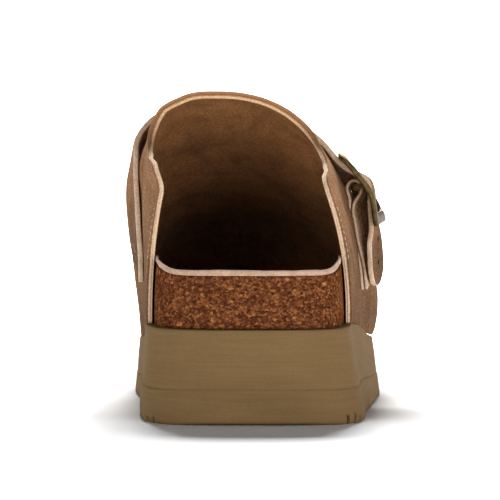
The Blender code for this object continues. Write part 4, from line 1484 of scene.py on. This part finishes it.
def brass():
    """Old brass: worn bright patches, dull film and fine scratches, with painted shade darkening the buckle's
    lower end.
    """
    make = Shader("antique_brass")
    film = make.noise(3.5, detail=5, rough=0.65)
    spots = make.noise(0.8, detail=4, rough=0.7)
    scratch = make.noise(0.4, detail=2, where=make.stretched(0.12, 1.0, 0.3))
    colour = make.ramp(film, *BRASS_TONES)
    colour = make.shaded(colour, spots, (0.3, 0.72), (0.6, 1.04))
    # painted shade: the buckle's lower end darker, from 84 mm down to 73 mm
    colour = make.with_painted_shading(colour, "Z", 0.084, 0.073, 0.42)
    rough = make.ramp(make.mix(0.5, film, scratch), (0.3, 0.5), (0.7, 0.68))
    return make.finish(colour, rough, Normal=make.bump(scratch, 0.03, 0.4), Metallic=1.0)


def thread(name, dark, pale):
    make = Shader(name)
    twist = make.noise(0.45, detail=2, where=make.stretched(1.0, 0.5, 1.0))
    colour = make.ramp(twist, (0.3, dark), (0.7, pale))
    return make.finish(colour, 0.8, Normal=make.bump(twist, 0.1, 0.6), Sheen_Weight=0.2)


def plain_floor():
    """White floor that shines a little of itself away from the shoe, so that it has no horizon."""
    make = Shader("floor")
    colour = make.ramp(make.noise(240, detail=2), (0.3, 0.9), (0.7, 0.92))
    away = make.math("DISTANCE", make.where, FLOOR_GLOW_CENTRE, kind="ShaderNodeVectorMath", output="Value")
    glow = make.ramp(away, (FLOOR_GLOW_START, 0.0), (FLOOR_GLOW_FULL, 1.0))
    shine = {"Emission_Color": glow, "Emission_Strength": FLOOR_GLOW}
    return make.finish(colour, 0.9, Specular_IOR_Level=0.1, **shine)


# Studio

CAMERA_BACK = 1230.0
CAMERA_HEIGHT = 109.0
AIM = (0.4, 128.0, 58.0)
LENS_MM = 250.0
SENSOR_MM = 36.0
CLIP = (0.05, 50.0)
WORLD_STRENGTH = 0.04
FLOOR_SIDES = 72
FLOOR_RINGS = (0.25, 0.6, 1.2)
FLOOR_RADIUS = 2.4
FLOOR_BEND = 0.5
FLOOR_BEND_STEPS = 9
FLOOR_GLOW_START = 0.22
FLOOR_GLOW_FULL = 0.6
FLOOR_GLOW = 1.7
FLOOR_GLOW_CENTRE = (-0.13, 0.0, 0.0)
LIGHTS = (
    ("name", "place", "aim", "size", "power"),
    ("over_the_toe", (-0.03, 1.35, 1.4), (0.0, 0.0, 0.0), (0.45, 0.45), 60.0),
    ("right_of_camera", (1.15, -1.95, 0.45), (0.0, 0.0, 0.06), (1.0, 0.6), 12.5),
    ("left_of_camera", (-0.9, -2.05, 0.45), (0.0, 0.0, 0.06), (1.0, 0.6), 7.0),
)


def build_floor():
    turns = circle(FLOOR_SIDES)
    bend = np.linspace(0, np.pi / 2, FLOOR_BEND_STEPS)
    radii = np.concatenate([FLOOR_RINGS, FLOOR_RADIUS + FLOOR_BEND * np.sin(bend)])
    heights = np.concatenate([np.zeros(len(FLOOR_RINGS)), FLOOR_BEND * (1 - np.cos(bend))])
    points = [(0.0, 0.0, 0.0)]
    for radius, height in zip(radii, heights):
        points += [(radius * math.cos(t), radius * math.sin(t), height) for t in turns]
    faces = [(0, 1 + k, 1 + (k + 1) % FLOOR_SIDES) for k in range(FLOOR_SIDES)]
    faces += grid_quads(len(radii), FLOOR_SIDES, 1, wrap=True).tolist()
    mesh = bpy.data.meshes.new("floor")
    mesh.from_pydata(points, [], faces)
    mesh.polygons.foreach_set("use_smooth", [True] * len(faces))
    mesh.materials.append(plain_floor())
    floor = new_object("floor", mesh)


def look(thing, start, end):
    """Puts a light or camera at start, facing end, in metres."""
    thing.location = start
    thing.rotation_euler = (Vector(end) - Vector(start)).to_track_quat("-Z", "Y").to_euler()


def build_studio():
    build_floor()
    world = bpy.data.worlds.new("studio")
    world.use_nodes = True
    background = world.node_tree.nodes["Background"]
    background.inputs["Color"].default_value = (1.0, 1.0, 1.0, 1.0)
    background.inputs["Strength"].default_value = WORLD_STRENGTH
    bpy.context.scene.world = world

    for name, start, end, size, power in LIGHTS[1:]:
        light = bpy.data.lights.new(name, "AREA")
        light.shape = "RECTANGLE"
        light.size, light.size_y = size
        light.energy = power
        look(new_object(name, light), start, end)

    camera = bpy.data.cameras.new("camera")
    camera.sensor_width = SENSOR_MM
    camera.lens = LENS_MM
    camera.clip_start, camera.clip_end = CLIP
    eye = new_object("camera", camera)
    look(eye, place((0.0, -CAMERA_BACK, CAMERA_HEIGHT)), place(AIM))
    bpy.context.scene.camera = eye
    bpy.context.scene.view_settings.view_transform = "Standard"


def main():
    # painted shade: the outer suede darker towards the bottom, from 80 mm down to 36 mm
    outer = suede(
        "suede_outer", (94, 61, 37), (143, 102, 68), (182, 138, 100), painted_shading_marks=[("Z", 0.08, 0.036, 0.56)]
    )
    # painted shade deep inside towards the toe, and painted light on the lateral inner wall
    lining_painted_light_and_shade = [("Y", 0.005, 0.085, 0.36), ("X", 0.0, 0.035, 1.5)]
    lining = suede("lining_leather", (130, 87, 49), (158, 108, 64), (182, 129, 80), nap=0.8, painted_shading_marks=lining_painted_light_and_shade)
    flesh = suede("strap_back", (164, 128, 96), (202, 166, 132), (226, 194, 162))
    # painted shade: the strap darker towards its low ends, below 80 mm
    strap_face = suede(
        "suede_strap", (92, 60, 38), (140, 99, 66), (178, 133, 96), painted_shading_marks=[("Z", 0.08, 0.055, 0.52)]
    )
    upper_edge = cut_edge(
        "upper_cut_edge", (150, 106, 70), (236, 206, 174), throat=(168, 122, 84), throat_line=(226, 188, 148)
    )
    strap_edge = cut_edge("strap_cut_edge", (218, 186, 154), (244, 219, 193))
    bed_top = suede("footbed_suede", (140, 108, 82), (168, 134, 106), (194, 160, 132))
    bed_edge = cut_edge("footbed_cut_edge", (184, 150, 126), (212, 180, 156))
    metal = brass()
    sewing = thread("thread", (176, 142, 108), (222, 192, 160))
    brown_sewing = thread("brown_thread", (104, 72, 48), (148, 110, 78))

    build_sole([sole_rubber()])
    build_footbed([cork()])
    build_lining([bed_edge, bed_top])
    build_upper([outer, upper_edge, lining])
    build_collar_stitches(sewing)
    build_strap([strap_face, strap_edge, flesh])
    build_tab([flesh, strap_edge, flesh])
    build_frame(metal)
    build_prong(metal)
    build_strap_stitches(brown_sewing)
    build_tab_stitches(brown_sewing)
    build_studio()


main()
